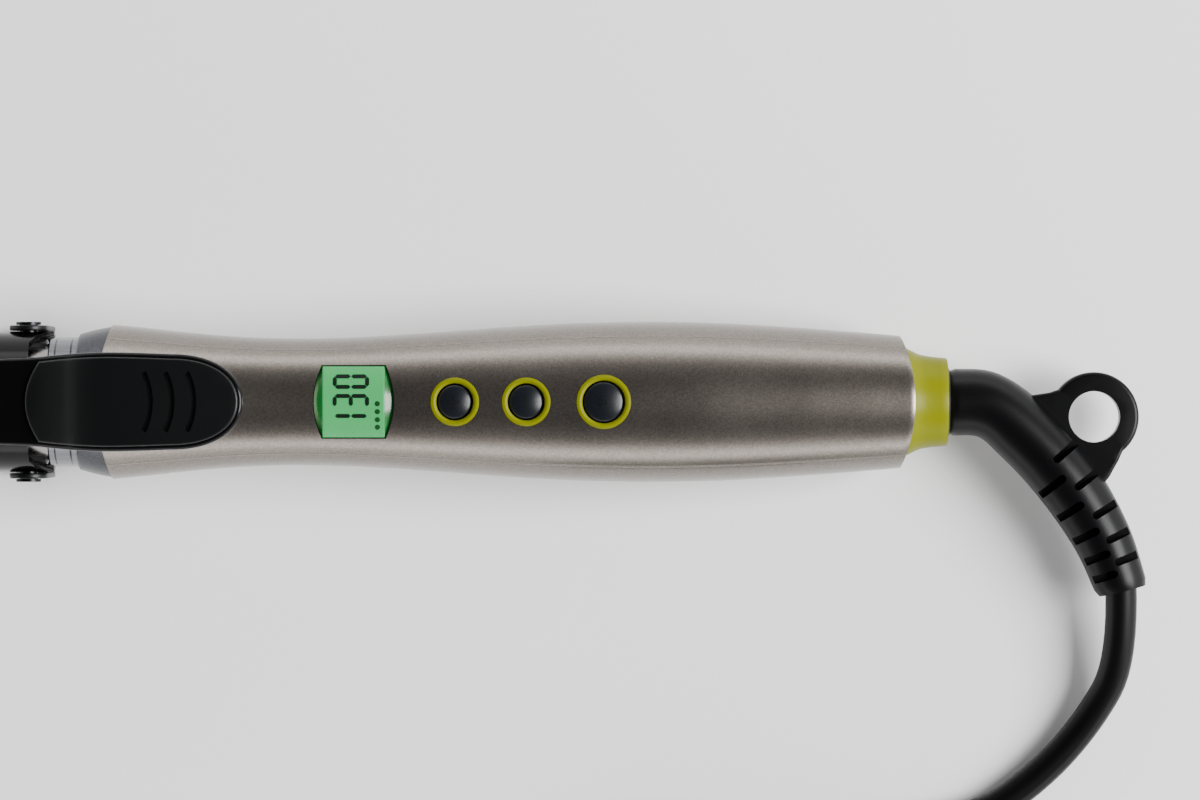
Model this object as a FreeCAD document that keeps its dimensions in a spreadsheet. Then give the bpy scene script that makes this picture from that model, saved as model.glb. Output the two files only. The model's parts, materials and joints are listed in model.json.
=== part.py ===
import FreeCAD, Part
import math
import os

import Sketcher

Vector = FreeCAD.Vector

# ---------------------------------------------------------------------------
# Driving dimensions, in millimetres and degrees.
#
# The iron lies along X: barrel towards -X, cord towards +X, control face up.
# Every piece is drawn in this lying position with X = 0 at the front face of
# the handle's cap, and is then tilted so that the iron rests on its stand.
# ---------------------------------------------------------------------------
DIMENSIONS = [
    ("rest_tilt", 4.0, "lean of the iron on its stand, degrees"),
    # barrel
    ("barrel_radius", 12.5, "outside of the barrel tube"),
    ("barrel_wall", 0.9, "barrel tube wall"),
    ("barrel_reach", 146.0, "barrel tube ahead of the handle"),
    ("barrel_root", 12.0, "barrel tube inside the handle"),
    ("tip_length", 22.0, "cool tip ahead of the tube"),
    ("tip_plug", 10.0, "cool tip inside the tube"),
    ("tip_nose", 7.0, "length of the nose's curve"),
    # ferrule and front cap
    ("ferrule_radius", 13.9, "outside of the bright ferrule"),
    ("ferrule_length", 6.2, "ferrule length"),
    ("cap_chamfer", 0.5, "front edge of the cap"),
    ("cap_shoulder", 8.6, "where the cap reaches its full radius"),
    ("cap_front", 2.4, "front wall of the cap"),
    ("cap_edge_radius", 16.5, "outside of the cap at the shells"),
    ("cap_skin", 10.0, "length of the cap's skin before its curved edge is cut"),
    ("cap_spigot", 16.0, "how far the cap reaches into the shells"),
    ("cap_spigot_wall", 1.4, "wall of the cap's spigot"),
    ("front_seam_x", 4.7, "front seam on the centre line"),
    ("front_seam_radius", 55.0, "curve of the front seam"),
    # handle
    ("handle_length", 179.0, "length of the shells on the centre line"),
    ("waist_radius", 13.6, "handle at its narrowest"),
    ("belly_radius", 17.2, "handle at its widest"),
    ("heel_radius", 14.0, "handle at its rear edge"),
    ("shell_wall", 1.8, "shell wall"),
    ("rear_seam_radius", 38.0, "curve of the rear edge"),
    ("panel_half_angle", 54.0, "half of the upper shell's opening, degrees"),
    # collar and swivel
    ("collar_bore_radius", 11.7, "rear bore of the shells"),
    ("bulkhead_length", 11.0, "length of that bore"),
    ("collar_flange", 1.2, "flange of the collar behind the bulkhead"),
    ("collar_flange_length", 2.5, "its length"),
    ("collar_end_radius", 9.4, "rear end of the collar"),
    ("collar_length", 7.4, "collar behind the shells"),
    ("hub_radius", 7.2, "swivel hub"),
    ("swivel_gap", 0.08, "running gap round the hub"),
    ("hub_bore", 2.6, "passage for the leads"),
    ("hub_inner_length", 32.0, "hub inside the collar's end"),
    ("ring_width", 2.0, "each contact ring"),
    ("ring_height", 0.6, "height of a contact ring"),
    ("ring_spacing", 4.5, "from one contact ring to the next"),
    # cord guard
    ("guard_neck_radius", 7.2, "cord guard at the collar"),
    ("guard_end_radius", 5.6, "cord guard at the cord"),
    ("loop_radius", 9.6, "outside of the hanging loop"),
    ("loop_hole_radius", 5.5, "hole of the hanging loop"),
    ("loop_thickness", 5.0, "thickness of the hanging loop"),
    # pivot of clip and stand
    ("pivot_x", 11.0, "pivot ahead of the handle"),
    ("pin_radius", 2.0, "pivot pin"),
    ("pin_gap", 0.06, "running gap round the pin"),
    ("pin_head_radius", 2.7, "pin head"),
    ("pin_head_height", 0.6, "pin head"),
    ("bracket_wall", 0.9, "wall of the hinge bracket"),
    ("bracket_length", 8.0, "length of the hinge bracket"),
    # clip
    ("saddle_inner_radius", 14.1, "inside of the clip base"),
    ("saddle_radius", 15.1, "outside of the clip base"),
    ("saddle_front", 16.0, "clip base ahead of the pivot"),
    ("saddle_rear", 5.5, "clip base behind the pivot"),
    ("saddle_half_angle", 106.0, "clip base round the barrel, degrees"),
    ("tong_gap", 0.35, "tong above the barrel"),
    ("tong_wall", 1.0, "tong sheet"),
    ("tong_half_angle", 56.0, "tong round the barrel, degrees"),
    ("lever_reach", 47.4, "lever tip behind the pivot"),
    ("lever_width", 21.0, "lever width"),
    ("lever_arm", 1.6, "thickness of the arm under the lever"),
    ("lever_pad", 1.3, "thickness of the thumb pad"),
    ("lever_rim", 1.0, "rim of the arm round the pad"),
    ("groove_width", 1.2, "grip groove"),
    ("groove_depth", 0.7, "grip groove"),
    ("groove_pitch", 4.6, "from one grip groove to the next"),
    ("rivet_radius", 1.3, "rivets of the tong"),
    # stand
    ("stand_gap", 0.25, "stand arm beside the clip base"),
    ("stand_thickness", 1.1, "stand arm"),
    ("stand_width", 8.2, "stand arm"),
    ("foot_width", 7.0, "foot bar"),
    ("foot_height", 2.4, "foot bar"),
    # display
    ("window_x", 59.3, "centre of the window"),
    ("window_length", 13.4, "window along the handle at its sides"),
    ("window_width", 15.4, "window across the handle"),
    ("window_bow", 1.8, "bow of its front and rear edges"),
    ("window_skin", 1.2, "window thickness"),
    ("display_length", 15.0, "display module"),
    ("display_width", 11.6, "display module"),
    ("display_height", 2.0, "display module"),
    # buttons
    ("plus_x", 80.9, "plus button"),
    ("minus_x", 96.1, "minus button"),
    ("power_x", 112.6, "power button"),
    ("small_button_radius", 3.65, "plus and minus buttons"),
    ("power_button_radius", 4.25, "power button"),
    ("button_gap", 0.3, "gap round each button"),
    ("button_ring_wall", 1.3, "lime ring round each button"),
    ("button_flange", 0.7, "flange under the ring"),
    ("button_flange_height", 0.8, "its height"),
    ("button_travel", 0.7, "button travel"),
    ("button_ring_depth", 2.4, "lime ring height"),
    # electronics
    ("board_x", 47.0, "front edge of the board"),
    ("board_length", 82.0, "circuit board"),
    ("board_width", 16.4, "circuit board"),
    ("board_z", 6.2, "underside of the board"),
    ("board_thickness", 1.6, "circuit board"),
    ("switch_side", 4.5, "tact switch body"),
    ("switch_height", 1.6, "tact switch body"),
    ("plunger_radius", 1.2, "tact switch plunger"),
    ("plunger_height", 0.5, "tact switch plunger"),
    ("post_radius", 2.0, "board posts"),
    ("board_screw_radius", 0.8, "board screws"),
    ("board_screw_head", 1.6, "board screw heads"),
    # housing screws
    ("front_screw_x", 27.0, "front housing screw"),
    ("rear_screw_inset", 36.0, "rear housing screw ahead of the handle's rear edge"),
    ("screw_radius", 1.3, "housing screws"),
    ("screw_head_radius", 2.4, "housing screw heads"),
    ("screw_head_height", 1.8, "housing screw heads"),
    ("boss_radius", 3.2, "screw bosses"),
    ("boss_joint_z", 0.0, "where lower and upper bosses meet"),
    # heater
    ("heater_length", 84.0, "heater core"),
    ("heater_front", 122.0, "front of the heater core"),
    ("core_wall", 1.5, "curved wall of the heater core"),
    ("core_web", 2.0, "flat web of the heater core"),
    ("ceramic_width", 12.0, "ceramic heating plate"),
    ("ceramic_thickness", 2.4, "ceramic heating plate"),
    ("fuse_radius", 1.9, "thermal fuse"),
    ("fuse_length", 11.0, "thermal fuse"),
    ("sensor_radius", 1.1, "temperature sensor"),
    ("insulator_length", 4.0, "insulating disc"),
    ("lead_radius", 0.9, "lead wires"),
    # cord, coil and plug
    ("cord_radius", 3.4, "mains cord"),
    ("coil_mid_radius", 40.0, "middle of the coil's turns"),
    ("coil_spread", 17.0, "from the innermost turn to the outermost"),
    ("coil_layers", 2.0, "turns above one another"),
    ("tail_length", 30.0, "cord from the coil to the plug"),
    ("plug_length", 36.0, "plug body"),
    ("plug_width", 35.3, "plug body"),
    ("plug_height", 13.7, "plug body"),
    ("plug_pin_radius", 2.0, "plug pins"),
    ("plug_pin_length", 19.0, "plug pins"),
    ("plug_pin_spacing", 18.6, "plug pins"),
]

# Handle sections from front to rear: share of the handle's length, radius name
# and share of the way from that radius to the belly's.
HANDLE_SECTIONS = [
    (-0.020, "cap_edge_radius", 0.8),
    (0.048, "cap_edge_radius", 0.0),
    (0.130, "waist_radius", 0.37),
    (0.277, "waist_radius", 0.0),
    (0.420, "waist_radius", 0.34),
    (0.550, "waist_radius", 0.80),
    (0.680, "waist_radius", 1.0),
    (0.850, "heel_radius", 0.66),
    (1.000, "heel_radius", 0.0),
]

# Cord guard sections from the collar to the cord: along X from the collar's end,
# towards -Y, heading in degrees from +X, and share of the way from neck to end radius.
GUARD_SECTIONS = [
    (0.4, 0.0, 0.0, 0.0),
    (9.0, -0.8, -16.0, 0.0),
    (17.4, -7.4, -45.0, 0.02),
    (25.8, -17.0, -52.0, 0.12),
    (33.2, -29.0, -64.0, 0.55),
    (37.7, -40.6, -76.0, 1.0),
]

# Hanging loop centre, from the collar's end.
LOOP_CENTRE = (31.5, -3.2)

# Route of the cord from the guard to the coil: corners of straight runs on the
# surface that the iron rests on, in millimetres along X and Y, with the height
# above that surface. The corners are rounded by tangent arcs.
CORD_ROUTE = [
    (223.6, -42.4, 11.1),
    (224.0, -56.0, 8.0),
    (219.0, -69.5, 4.0),
    (207.0, -81.5, 3.4),
    (190.0, -92.0, 3.4),
    (140.0, -92.0, 3.4),
]


class Size:
    """A length or angle with its value and the sheet expression that gives it."""

    def __init__(self, value, text):
        self.value = float(value)
        self.text = text

    @staticmethod
    def of(other):
        return other if isinstance(other, Size) else Size(other, repr(float(other)))

    def __add__(self, other):
        other = Size.of(other)
        return Size(self.value + other.value, "(%s + %s)" % (self.text, other.text))

    def __sub__(self, other):
        other = Size.of(other)
        return Size(self.value - other.value, "(%s - %s)" % (self.text, other.text))

    def __mul__(self, other):
        other = Size.of(other)
        return Size(self.value * other.value, "(%s * %s)" % (self.text, other.text))

    def __truediv__(self, other):
        other = Size.of(other)
        return Size(self.value / other.value, "(%s / %s)" % (self.text, other.text))

    def __neg__(self):
        return Size(-self.value, "(0 - %s)" % self.text)

    def __radd__(self, other):
        return Size.of(other) + self

    def __rsub__(self, other):
        return Size.of(other) - self

    def __rmul__(self, other):
        return Size.of(other) * self


class Circle:
    """A circle in a sketch: centre and radius."""

    def __init__(self, across, along, radius):
        self.across = Size.of(across)
        self.along = Size.of(along)
        self.radius = Size.of(radius)


doc = FreeCAD.newDocument("curling_iron")
sheet = doc.addObject("Spreadsheet::Sheet", "sizes")


def fill_sheet():
    """Write the driving dimensions into the sheet and return them by name."""
    named = {}
    for row, (name, value, note) in enumerate(DIMENSIONS, start=1):
        sheet.set("A%d" % row, note)
        sheet.set("B%d" % row, str(value))
        sheet.setAlias("B%d" % row, name)
        named[name] = Size(value, "sizes." + name)
    doc.recompute()
    return named


D = fill_sheet()


def derive(name, value, note):
    """Add a measured value to the sheet and return it as a size."""
    row = len(D) + 1
    sheet.set("A%d" % row, note)
    sheet.set("B%d" % row, repr(float(value)))
    sheet.setAlias("B%d" % row, name)
    doc.recompute()
    D[name] = Size(value, "sizes." + name)
    return D[name]


def tangent(angle):
    """Tangent of an angle size in degrees."""
    return Size(math.tan(math.radians(angle.value)), "tan(%s * 1 deg)" % angle.text)


# ---------------------------------------------------------------------------
# Sketches
# ---------------------------------------------------------------------------
ORIGIN_POINT = (-1, 1)
H_AXIS = -1
V_AXIS = -2
# Origin plane of each drawing plane, and the side its normal points to.
PLANES = {"XY": ("XY_Plane", 1.0), "XZ": ("XZ_Plane", -1.0), "YZ": ("YZ_Plane", 1.0)}


def origin_plane(body, role):
    return next(item for item in body.Origin.OriginFeatures if item.Role == role)


def new_sketch(body, plane, start=0.0):
    """A sketch on one of the body's origin planes, at a distance along X, Y or Z."""
    role, side = PLANES[plane]
    sketch = body.newObject("Sketcher::SketchObject", body.Name + "_sketch")
    sketch.AttachmentSupport = [(origin_plane(body, role), "")]
    sketch.MapMode = "FlatFace"
    sketch.setExpression(".AttachmentOffset.Base.z", (Size.of(start) * side).text)
    return sketch


def bind_distance(sketch, kind, point, size):
    """Hold one coordinate of a sketch point at a size."""
    axis = V_AXIS if kind == "DistanceX" else H_AXIS
    if abs(size.value) < 1e-9:
        sketch.addConstraint(Sketcher.Constraint("PointOnObject", *point, axis))
        return
    if size.value > 0:
        ends, size = (*ORIGIN_POINT, *point), size
    else:
        ends, size = (*point, *ORIGIN_POINT), -size
    number = sketch.addConstraint(Sketcher.Constraint(kind, *ends, size.value))
    sketch.renameConstraint(number, "size%d" % number)
    sketch.setExpression("Constraints.size%d" % number, size.text)


def draw_circle(sketch, circle):
    centre = Vector(circle.across.value, circle.along.value, 0)
    number = sketch.addGeometry(Part.Circle(centre, Vector(0, 0, 1), circle.radius.value), False)
    bind_distance(sketch, "DistanceX", (number, 3), circle.across)
    bind_distance(sketch, "DistanceY", (number, 3), circle.along)
    radius = sketch.addConstraint(Sketcher.Constraint("Radius", number, circle.radius.value))
    sketch.renameConstraint(radius, "size%d" % radius)
    sketch.setExpression("Constraints.size%d" % radius, circle.radius.text)


def draw_polygon(sketch, points):
    """Draw a closed outline of straight lines with every corner held by two sizes."""
    corners = [(Size.of(across), Size.of(along)) for across, along in points]
    first = sketch.GeometryCount
    count = len(corners)
    for place, (across, along) in enumerate(corners):
        next_across, next_along = corners[(place + 1) % count]
        start = Vector(across.value, along.value, 0)
        end = Vector(next_across.value, next_along.value, 0)
        sketch.addGeometry(Part.LineSegment(start, end), False)
    for place in range(count):
        following = first + (place + 1) % count
        sketch.addConstraint(Sketcher.Constraint("Coincident", first + place, 2, following, 1))
    for place, (across, along) in enumerate(corners):
        bind_distance(sketch, "DistanceX", (first + place, 1), across)
        bind_distance(sketch, "DistanceY", (first + place, 1), along)


def draw(sketch, outlines):
    for outline in outlines:
        if isinstance(outline, Circle):
            draw_circle(sketch, outline)
        else:
            draw_polygon(sketch, outline)


def rectangle(low_across, high_across, low_along, high_along):
    return [
        (low_across, low_along),
        (high_across, low_along),
        (high_across, high_along),
        (low_across, high_along),
    ]


# ---------------------------------------------------------------------------
# Solids
# ---------------------------------------------------------------------------
def turned(name, *outlines, sweep=None):
    """Turn outlines of (x, radius) round the X axis, fully or over a middle sweep."""
    body = doc.addObject("PartDesign::Body", name)
    sketch = new_sketch(body, "XZ")
    draw(sketch, outlines)
    feature = body.newObject("PartDesign::Revolution", name + "_turn")
    feature.Profile = sketch
    feature.ReferenceAxis = (sketch, ["H_Axis"])
    if sweep is None:
        feature.Angle = 360
    else:
        feature.Midplane = True
        feature.setExpression("Angle", Size.of(sweep).text)
    return body


def prism(name, plane, start, length, *outlines):
    """Pad outlines from a plane: start and length run along +X, +Y or +Z."""
    body = doc.addObject("PartDesign::Body", name)
    sketch = new_sketch(body, plane, start)
    draw(sketch, outlines)
    feature = body.newObject("PartDesign::Pad", name + "_pad")
    feature.Profile = sketch
    feature.setExpression("Length", Size.of(length).text)
    feature.Reversed = plane == "XZ"
    return body


def between(name, plane, low, high, *outlines):
    return prism(name, plane, low, Size.of(high) - low, *outlines)


def lofted(name, sections):
    """Loft through circles given as (x, y, heading in degrees, radius)."""
    body = doc.addObject("PartDesign::Body", name)
    sketches = []
    for along, across, heading, radius in sections:
        sketch = new_sketch(body, "YZ", along)
        offset = sketch.AttachmentOffset
        offset.Rotation = FreeCAD.Rotation(Vector(0, 1, 0), heading)
        sketch.AttachmentOffset = offset
        sketch.setExpression(".AttachmentOffset.Base.x", Size.of(across).text)
        draw_circle(sketch, Circle(0, 0, radius))
        sketches.append(sketch)
    feature = body.newObject("PartDesign::AdditiveLoft", name + "_loft")
    feature.Profile = sketches[0]
    feature.Sections = sketches[1:]
    feature.Ruled = False
    return body


def soften(body, kind, size, pick):
    """Round (Fillet) or bevel (Chamfer) the edges of the body's tip that pick accepts."""
    doc.recompute()
    tip = body.Tip
    edges = ["Edge%d" % place for place, edge in enumerate(tip.Shape.Edges, start=1) if pick(edge)]
    feature = body.newObject("PartDesign::" + kind, body.Name + "_" + kind.lower())
    feature.Base = (tip, edges)
    feature.setExpression("Radius" if kind == "Fillet" else "Size", Size.of(size).text)
    return body


def fuse(name, *parts):
    if len(parts) == 1:
        return parts[0]
    joined = doc.addObject("Part::MultiFuse", name)
    joined.Shapes = list(parts)
    joined.Refine = True
    return joined


def cut(name, base, *tools):
    result = doc.addObject("Part::Cut", name)
    result.Base = base
    result.Tool = fuse(name + "_tools", *tools)
    return result


def common(name, base, tool):
    result = doc.addObject("Part::Common", name)
    result.Base = base
    result.Tool = tool
    return result


def group(name, *parts):
    """Identical pieces kept together as separate solids."""
    result = doc.addObject("Part::Compound", name)
    result.Links = list(parts)
    return result


def shapes_of(name, shape):
    feature = doc.addObject("Part::Feature", name)
    feature.Shape = shape
    return feature


TILTED = {}
LEVEL = {}


def node(name, item, store=TILTED):
    """Name a finished piece. Tilted pieces lean with the iron, level ones lie on the floor."""
    item.Label = name
    store[name] = item
    return item


# ---------------------------------------------------------------------------
# Handle
# ---------------------------------------------------------------------------
def handle_sections(inset):
    """Circles of the handle's outside, drawn in by the inset."""
    sections = []
    for share, name, towards_belly in HANDLE_SECTIONS:
        radius = D[name] + (D["belly_radius"] - D[name]) * towards_belly
        sections.append((D["handle_length"] * share, 0.0, 0.0, radius - inset))
    return sections


FAR = 60.0
handle_outside = lofted("handle_outside", handle_sections(0.0))
handle_inside = lofted("handle_inside", handle_sections(D["shell_wall"]))
doc.recompute()


def surface_height(along):
    """Height of the handle's ridge above its axis at a distance along it."""
    line = Part.makeLine(Vector(along.value, 0, 0), Vector(along.value, 0, FAR))
    return line.common(handle_outside.Shape).BoundBox.ZMax


def beyond_seam(name, low, high, centre_x, radius):
    """The space between low and high that lies outside an upright cylinder."""
    block = between(name + "_block", "XY", -FAR, FAR, rectangle(low, high, -FAR, FAR))
    drum = between(name + "_drum", "XY", -FAR, FAR, Circle(centre_x, 0, radius))
    return cut(name, block, drum)


seam_reach = 10.0
front_cutter = beyond_seam(
    "front_cutter",
    -FAR,
    D["front_seam_x"] + seam_reach,
    D["front_seam_x"] + D["front_seam_radius"],
    D["front_seam_radius"],
)
rear_cutter = beyond_seam(
    "rear_cutter",
    D["handle_length"] - seam_reach,
    D["handle_length"] + FAR,
    D["handle_length"] - D["rear_seam_radius"],
    D["rear_seam_radius"],
)

bulkhead_x = D["handle_length"] - D["bulkhead_length"]
cavity_zone = between("cavity_zone", "YZ", -FAR, bulkhead_x, rectangle(-FAR, FAR, -FAR, FAR))
cavity = common("cavity", handle_inside, cavity_zone)
rear_bore = between(
    "rear_bore", "YZ", bulkhead_x - 1, D["handle_length"] + 1, Circle(0, 0, D["collar_bore_radius"])
)
shell_wall = cut("shell_wall", handle_outside, cavity, rear_bore, front_cutter, rear_cutter)
panel_half_width = FAR * tangent(D["panel_half_angle"])
panel_wedge = between(
    "panel_wedge",
    "YZ",
    -FAR,
    D["handle_length"] + FAR,
    [(0, 0), (panel_half_width, FAR), (-panel_half_width, FAR)],
)
doc.recompute()

# Height of the axis above the surface: the shells touch it at the rear.
tilt = FreeCAD.Rotation(Vector(0, 1, 0), D["rest_tilt"].value)
leaning = shell_wall.Shape.copy()
leaning.Placement = FreeCAD.Placement(Vector(), tilt)
rest_height = derive("rest_height", -leaning.optimalBoundingBox().ZMin, "axis above the surface")


def floor_below(along):
    """Height of the surface in the leaning iron's own frame, at a distance along it."""
    cosine = Size(math.cos(math.radians(D["rest_tilt"].value)), "cos(sizes.rest_tilt * 1 deg)")
    return along * tangent(D["rest_tilt"]) - rest_height / cosine


# Buttons: name, place along the handle, radius of the cap.
BUTTONS = [
    ("plus", D["plus_x"], D["small_button_radius"]),
    ("minus", D["minus_x"], D["small_button_radius"]),
    ("power", D["power_x"], D["power_button_radius"]),
]
button_tops = {
    name: derive(name + "_surface", surface_height(along), "handle's ridge at the button")
    for name, along, radius in BUTTONS
}


def ring_radius(cap_radius):
    return cap_radius + D["button_gap"] + D["button_ring_wall"]


def upright(name, along, across, radius, low, high):
    """A round bar along Z."""
    return between(name, "XY", low, high, Circle(along, across, radius))


def window_outline():
    """The window: straight sides, front and rear edges bowed outwards."""
    steps = 4
    edge = []
    for step in range(steps + 1):
        share = 2.0 * step / steps - 1.0
        reach = D["window_length"] / 2 + D["window_bow"] * (1.0 - share * share)
        edge.append((reach, D["window_width"] / 2 * share))
    rear = [(D["window_x"] + reach, across) for reach, across in edge]
    front = [(D["window_x"] - reach, -across) for reach, across in edge]
    return rear + front


board_top = D["board_z"] + D["board_thickness"]
board_screw_places = [
    (D["board_x"] + inset, side)
    for inset in (24.5, D["board_length"] - 4.0)
    for side in (-6.0, 6.0)
]
housing_screw_places = [("front", D["front_screw_x"]), ("rear", D["handle_length"] - D["rear_screw_inset"])]


def inside_handle(name, part):
    """Keep only what lies inside the handle's outer surface."""
    return common(name, part, handle_outside)


def upper_shell():
    """Upper shell: a panel with the window, three button holes and its screw posts."""
    panel = common("upper_panel", shell_wall, panel_wedge)
    posts = []
    for place, (along, across) in enumerate(board_screw_places):
        bar = upright("board_post%d" % place, along, across, D["post_radius"], board_top, FAR)
        posts.append(inside_handle("board_post_in%d" % place, bar))
    for name, along in housing_screw_places:
        bar = upright(name + "_post", along, 0, D["boss_radius"], D["boss_joint_z"], FAR)
        posts.append(inside_handle(name + "_post_in", bar))
    solid = fuse("upper_solid", panel, *posts)
    holes = [between("window_hole", "XY", 0, FAR, window_outline())]
    for name, along, radius in BUTTONS:
        holes.append(upright(name + "_hole", along, 0, ring_radius(radius), board_top, FAR))
    for place, (along, across) in enumerate(board_screw_places):
        holes.append(upright("board_pilot%d" % place, along, across, D["board_screw_radius"],
                             board_top - 1, board_top + 3.2))
    for name, along in housing_screw_places:
        holes.append(upright(name + "_pilot", along, 0, D["screw_radius"],
                             D["boss_joint_z"] - 1, D["boss_joint_z"] + 6.0))
    return cut("upper_cut", solid, *holes)


SCREW_SEAT = -11.8


def lower_shell():
    """Lower shell with the screw bosses and their counterbores."""
    shell = cut("lower_wall", shell_wall, panel_wedge)
    bosses = []
    holes = []
    for name, along in housing_screw_places:
        bar = upright(name + "_boss", along, 0, D["boss_radius"], -FAR, D["boss_joint_z"])
        bosses.append(inside_handle(name + "_boss_in", bar))
        holes.append(upright(name + "_way", along, 0, D["screw_radius"], -FAR, 1))
        head = D["screw_head_radius"] + 0.3
        holes.append(upright(name + "_sink", along, 0, head, -FAR, SCREW_SEAT))
    solid = fuse("lower_solid", shell, *bosses)
    return cut("lower_cut", solid, *holes)


def front_cap():
    """Dark cap: a skin that ends at the curved seam and a spigot inside the shells."""
    rim = D["ferrule_radius"] + 0.3
    blank = turned(
        "cap_blank",
        [
            (0, 0),
            (0, rim),
            (D["cap_chamfer"], rim + D["cap_chamfer"]),
            (D["cap_shoulder"] * 0.42, rim + (D["cap_edge_radius"] - rim) * 0.58),
            (D["cap_shoulder"], D["cap_edge_radius"]),
            (D["cap_skin"], D["cap_edge_radius"]),
            (D["cap_skin"], 0),
        ],
    )
    beyond = between("cap_beyond", "XY", -FAR, FAR,
                     Circle(D["front_seam_x"] + D["front_seam_radius"], 0, D["front_seam_radius"]))
    skin = cut("cap_skin_cut", inside_handle("cap_skin_in", blank), beyond)
    spigot_blank = between("spigot_blank", "YZ", D["cap_front"], D["cap_spigot"],
                           Circle(0, 0, D["cap_edge_radius"] + 1))
    spigot = common("spigot", spigot_blank, handle_inside)
    passage = D["barrel_radius"] + 0.2
    bore = turned(
        "cap_bore",
        [
            (-1, 0),
            (-1, D["barrel_radius"]),
            (D["cap_front"], D["barrel_radius"]),
            (D["cap_front"], passage),
            (D["cap_spigot"] + 1, passage),
            (D["cap_spigot"] + 1, 0),
        ],
    )
    return cut("cap_cut", fuse("cap_solid", skin, spigot), bore)


def rear_collar():
    """Lime collar: a flange behind the bulkhead and a flared skirt down to the guard."""
    bore = D["hub_radius"] + D["swivel_gap"]
    seat = D["collar_bore_radius"]
    flange_x = bulkhead_x - D["collar_flange_length"]
    edge = D["handle_length"] - 1.6
    end = D["handle_length"] + D["collar_length"]
    fall = seat - D["collar_end_radius"]
    return turned(
        "collar_turned",
        [
            (flange_x, bore),
            (flange_x, seat + D["collar_flange"]),
            (bulkhead_x, seat + D["collar_flange"]),
            (bulkhead_x, seat),
            (edge, seat),
            (edge + 1.4, seat - fall * 0.33),
            (edge + 3.2, seat - fall * 0.68),
            (edge + 5.6, seat - fall * 0.86),
            (end, D["collar_end_radius"]),
            (end, bore),
        ],
    )


node("handle_upper_shell", upper_shell())
node("handle_lower_shell", lower_shell())
node("front_cap", front_cap())
node("rear_collar", rear_collar())


def housing_screws():
    """Two screws from below, heads in the lower shell's counterbores."""
    screws = []
    for name, along in housing_screw_places:
        shaft = upright(name + "_shaft", along, 0, D["screw_radius"],
                        SCREW_SEAT, D["boss_joint_z"] + 6.0)
        head = upright(name + "_head", along, 0, D["screw_head_radius"],
                       SCREW_SEAT - D["screw_head_height"], SCREW_SEAT)
        screws.append(fuse(name + "_screw", shaft, head))
    return group("housing_screw_group", *screws)


node("housing_screws", housing_screws())


# ---------------------------------------------------------------------------
# Barrel and heater
# ---------------------------------------------------------------------------
barrel_front = -D["barrel_reach"]
barrel_inner = D["barrel_radius"] - D["barrel_wall"]


def ring(name, low, high, inner, outer):
    """A plain ring or tube round the iron's axis."""
    return between(name, "YZ", low, high, Circle(0, 0, outer), Circle(0, 0, inner))


def cool_tip():
    """Cool tip: a plug inside the tube and a rounded nose ahead of it."""
    nose = barrel_front - D["tip_length"]
    radius = D["barrel_radius"]
    steps = 5
    curve = []
    for step in range(steps + 1):
        turn = math.radians(90.0 * step / steps)
        along = nose + D["tip_nose"] * (1.0 - math.cos(turn))
        curve.append((along, radius - D["tip_nose"] * (1.0 - math.sin(turn))))
    return turned(
        "tip_turned",
        [(nose, 0)]
        + curve
        + [
            (barrel_front, radius),
            (barrel_front, barrel_inner),
            (barrel_front + D["tip_plug"], barrel_inner),
            (barrel_front + D["tip_plug"], 0),
        ],
    )


node("barrel_tube", ring("tube", barrel_front, D["barrel_root"], barrel_inner, D["barrel_radius"]))
node("barrel_tip", cool_tip())
node(
    "barrel_ferrule",
    ring("ferrule", -D["ferrule_length"], 0, D["barrel_radius"], D["ferrule_radius"]),
)

core_front = -D["heater_front"]
core_rear = core_front + D["heater_length"]


def half_bar(name, side, radius, face, low, high):
    """A half-round bar on one side of a flat face."""
    round_bar = between(name + "_bar", "YZ", low, high, Circle(0, 0, radius))
    bottom, top = (face, FAR) if side > 0 else (-FAR, -face)
    half = between(name + "_half", "YZ", low, high, rectangle(-FAR, FAR, bottom, top))
    return common(name + "_common", round_bar, half)


def heater_core(name, side):
    """One hollow half of the aluminium core, on one side of the ceramic plate."""
    face = D["ceramic_thickness"] / 2
    full = half_bar(name + "_full", side, barrel_inner, face, core_front, core_rear)
    hollow = half_bar(name + "_hollow", side, barrel_inner - D["core_wall"], face + D["core_web"],
                      core_front - 1, core_rear + 1)
    return cut(name + "_core", full, hollow)


node("heater_core_upper", heater_core("upper", 1))
node("heater_core_lower", heater_core("lower", -1))
plate_inset = 6.0
node(
    "heating_element",
    between(
        "ceramic",
        "YZ",
        core_front + plate_inset,
        core_rear,
        rectangle(-D["ceramic_width"] / 2, D["ceramic_width"] / 2,
                  -D["ceramic_thickness"] / 2, D["ceramic_thickness"] / 2),
    ),
)
fuse_end = core_rear + D["fuse_length"]
fuse_z = D["ceramic_thickness"] / 2 + D["fuse_radius"] * 0.6
node("thermal_fuse", between("fuse_body", "YZ", core_rear, fuse_end, Circle(0, fuse_z, D["fuse_radius"])))
sensor_length = 7.0
node(
    "temperature_sensor",
    between("sensor_body", "YZ", core_rear, core_rear + sensor_length,
            Circle(0, -fuse_z, D["sensor_radius"])),
)
lead_y = 5.0
disc_front = fuse_end
node(
    "insulating_disc",
    between(
        "disc",
        "YZ",
        disc_front,
        disc_front + D["insulator_length"],
        Circle(0, 0, barrel_inner),
        Circle(lead_y, 0, D["lead_radius"]),
        Circle(-lead_y, 0, D["lead_radius"]),
    ),
)


# ---------------------------------------------------------------------------
# Bent round bars: leads and cord
# ---------------------------------------------------------------------------
ARC_SHARE = 0.45


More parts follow.
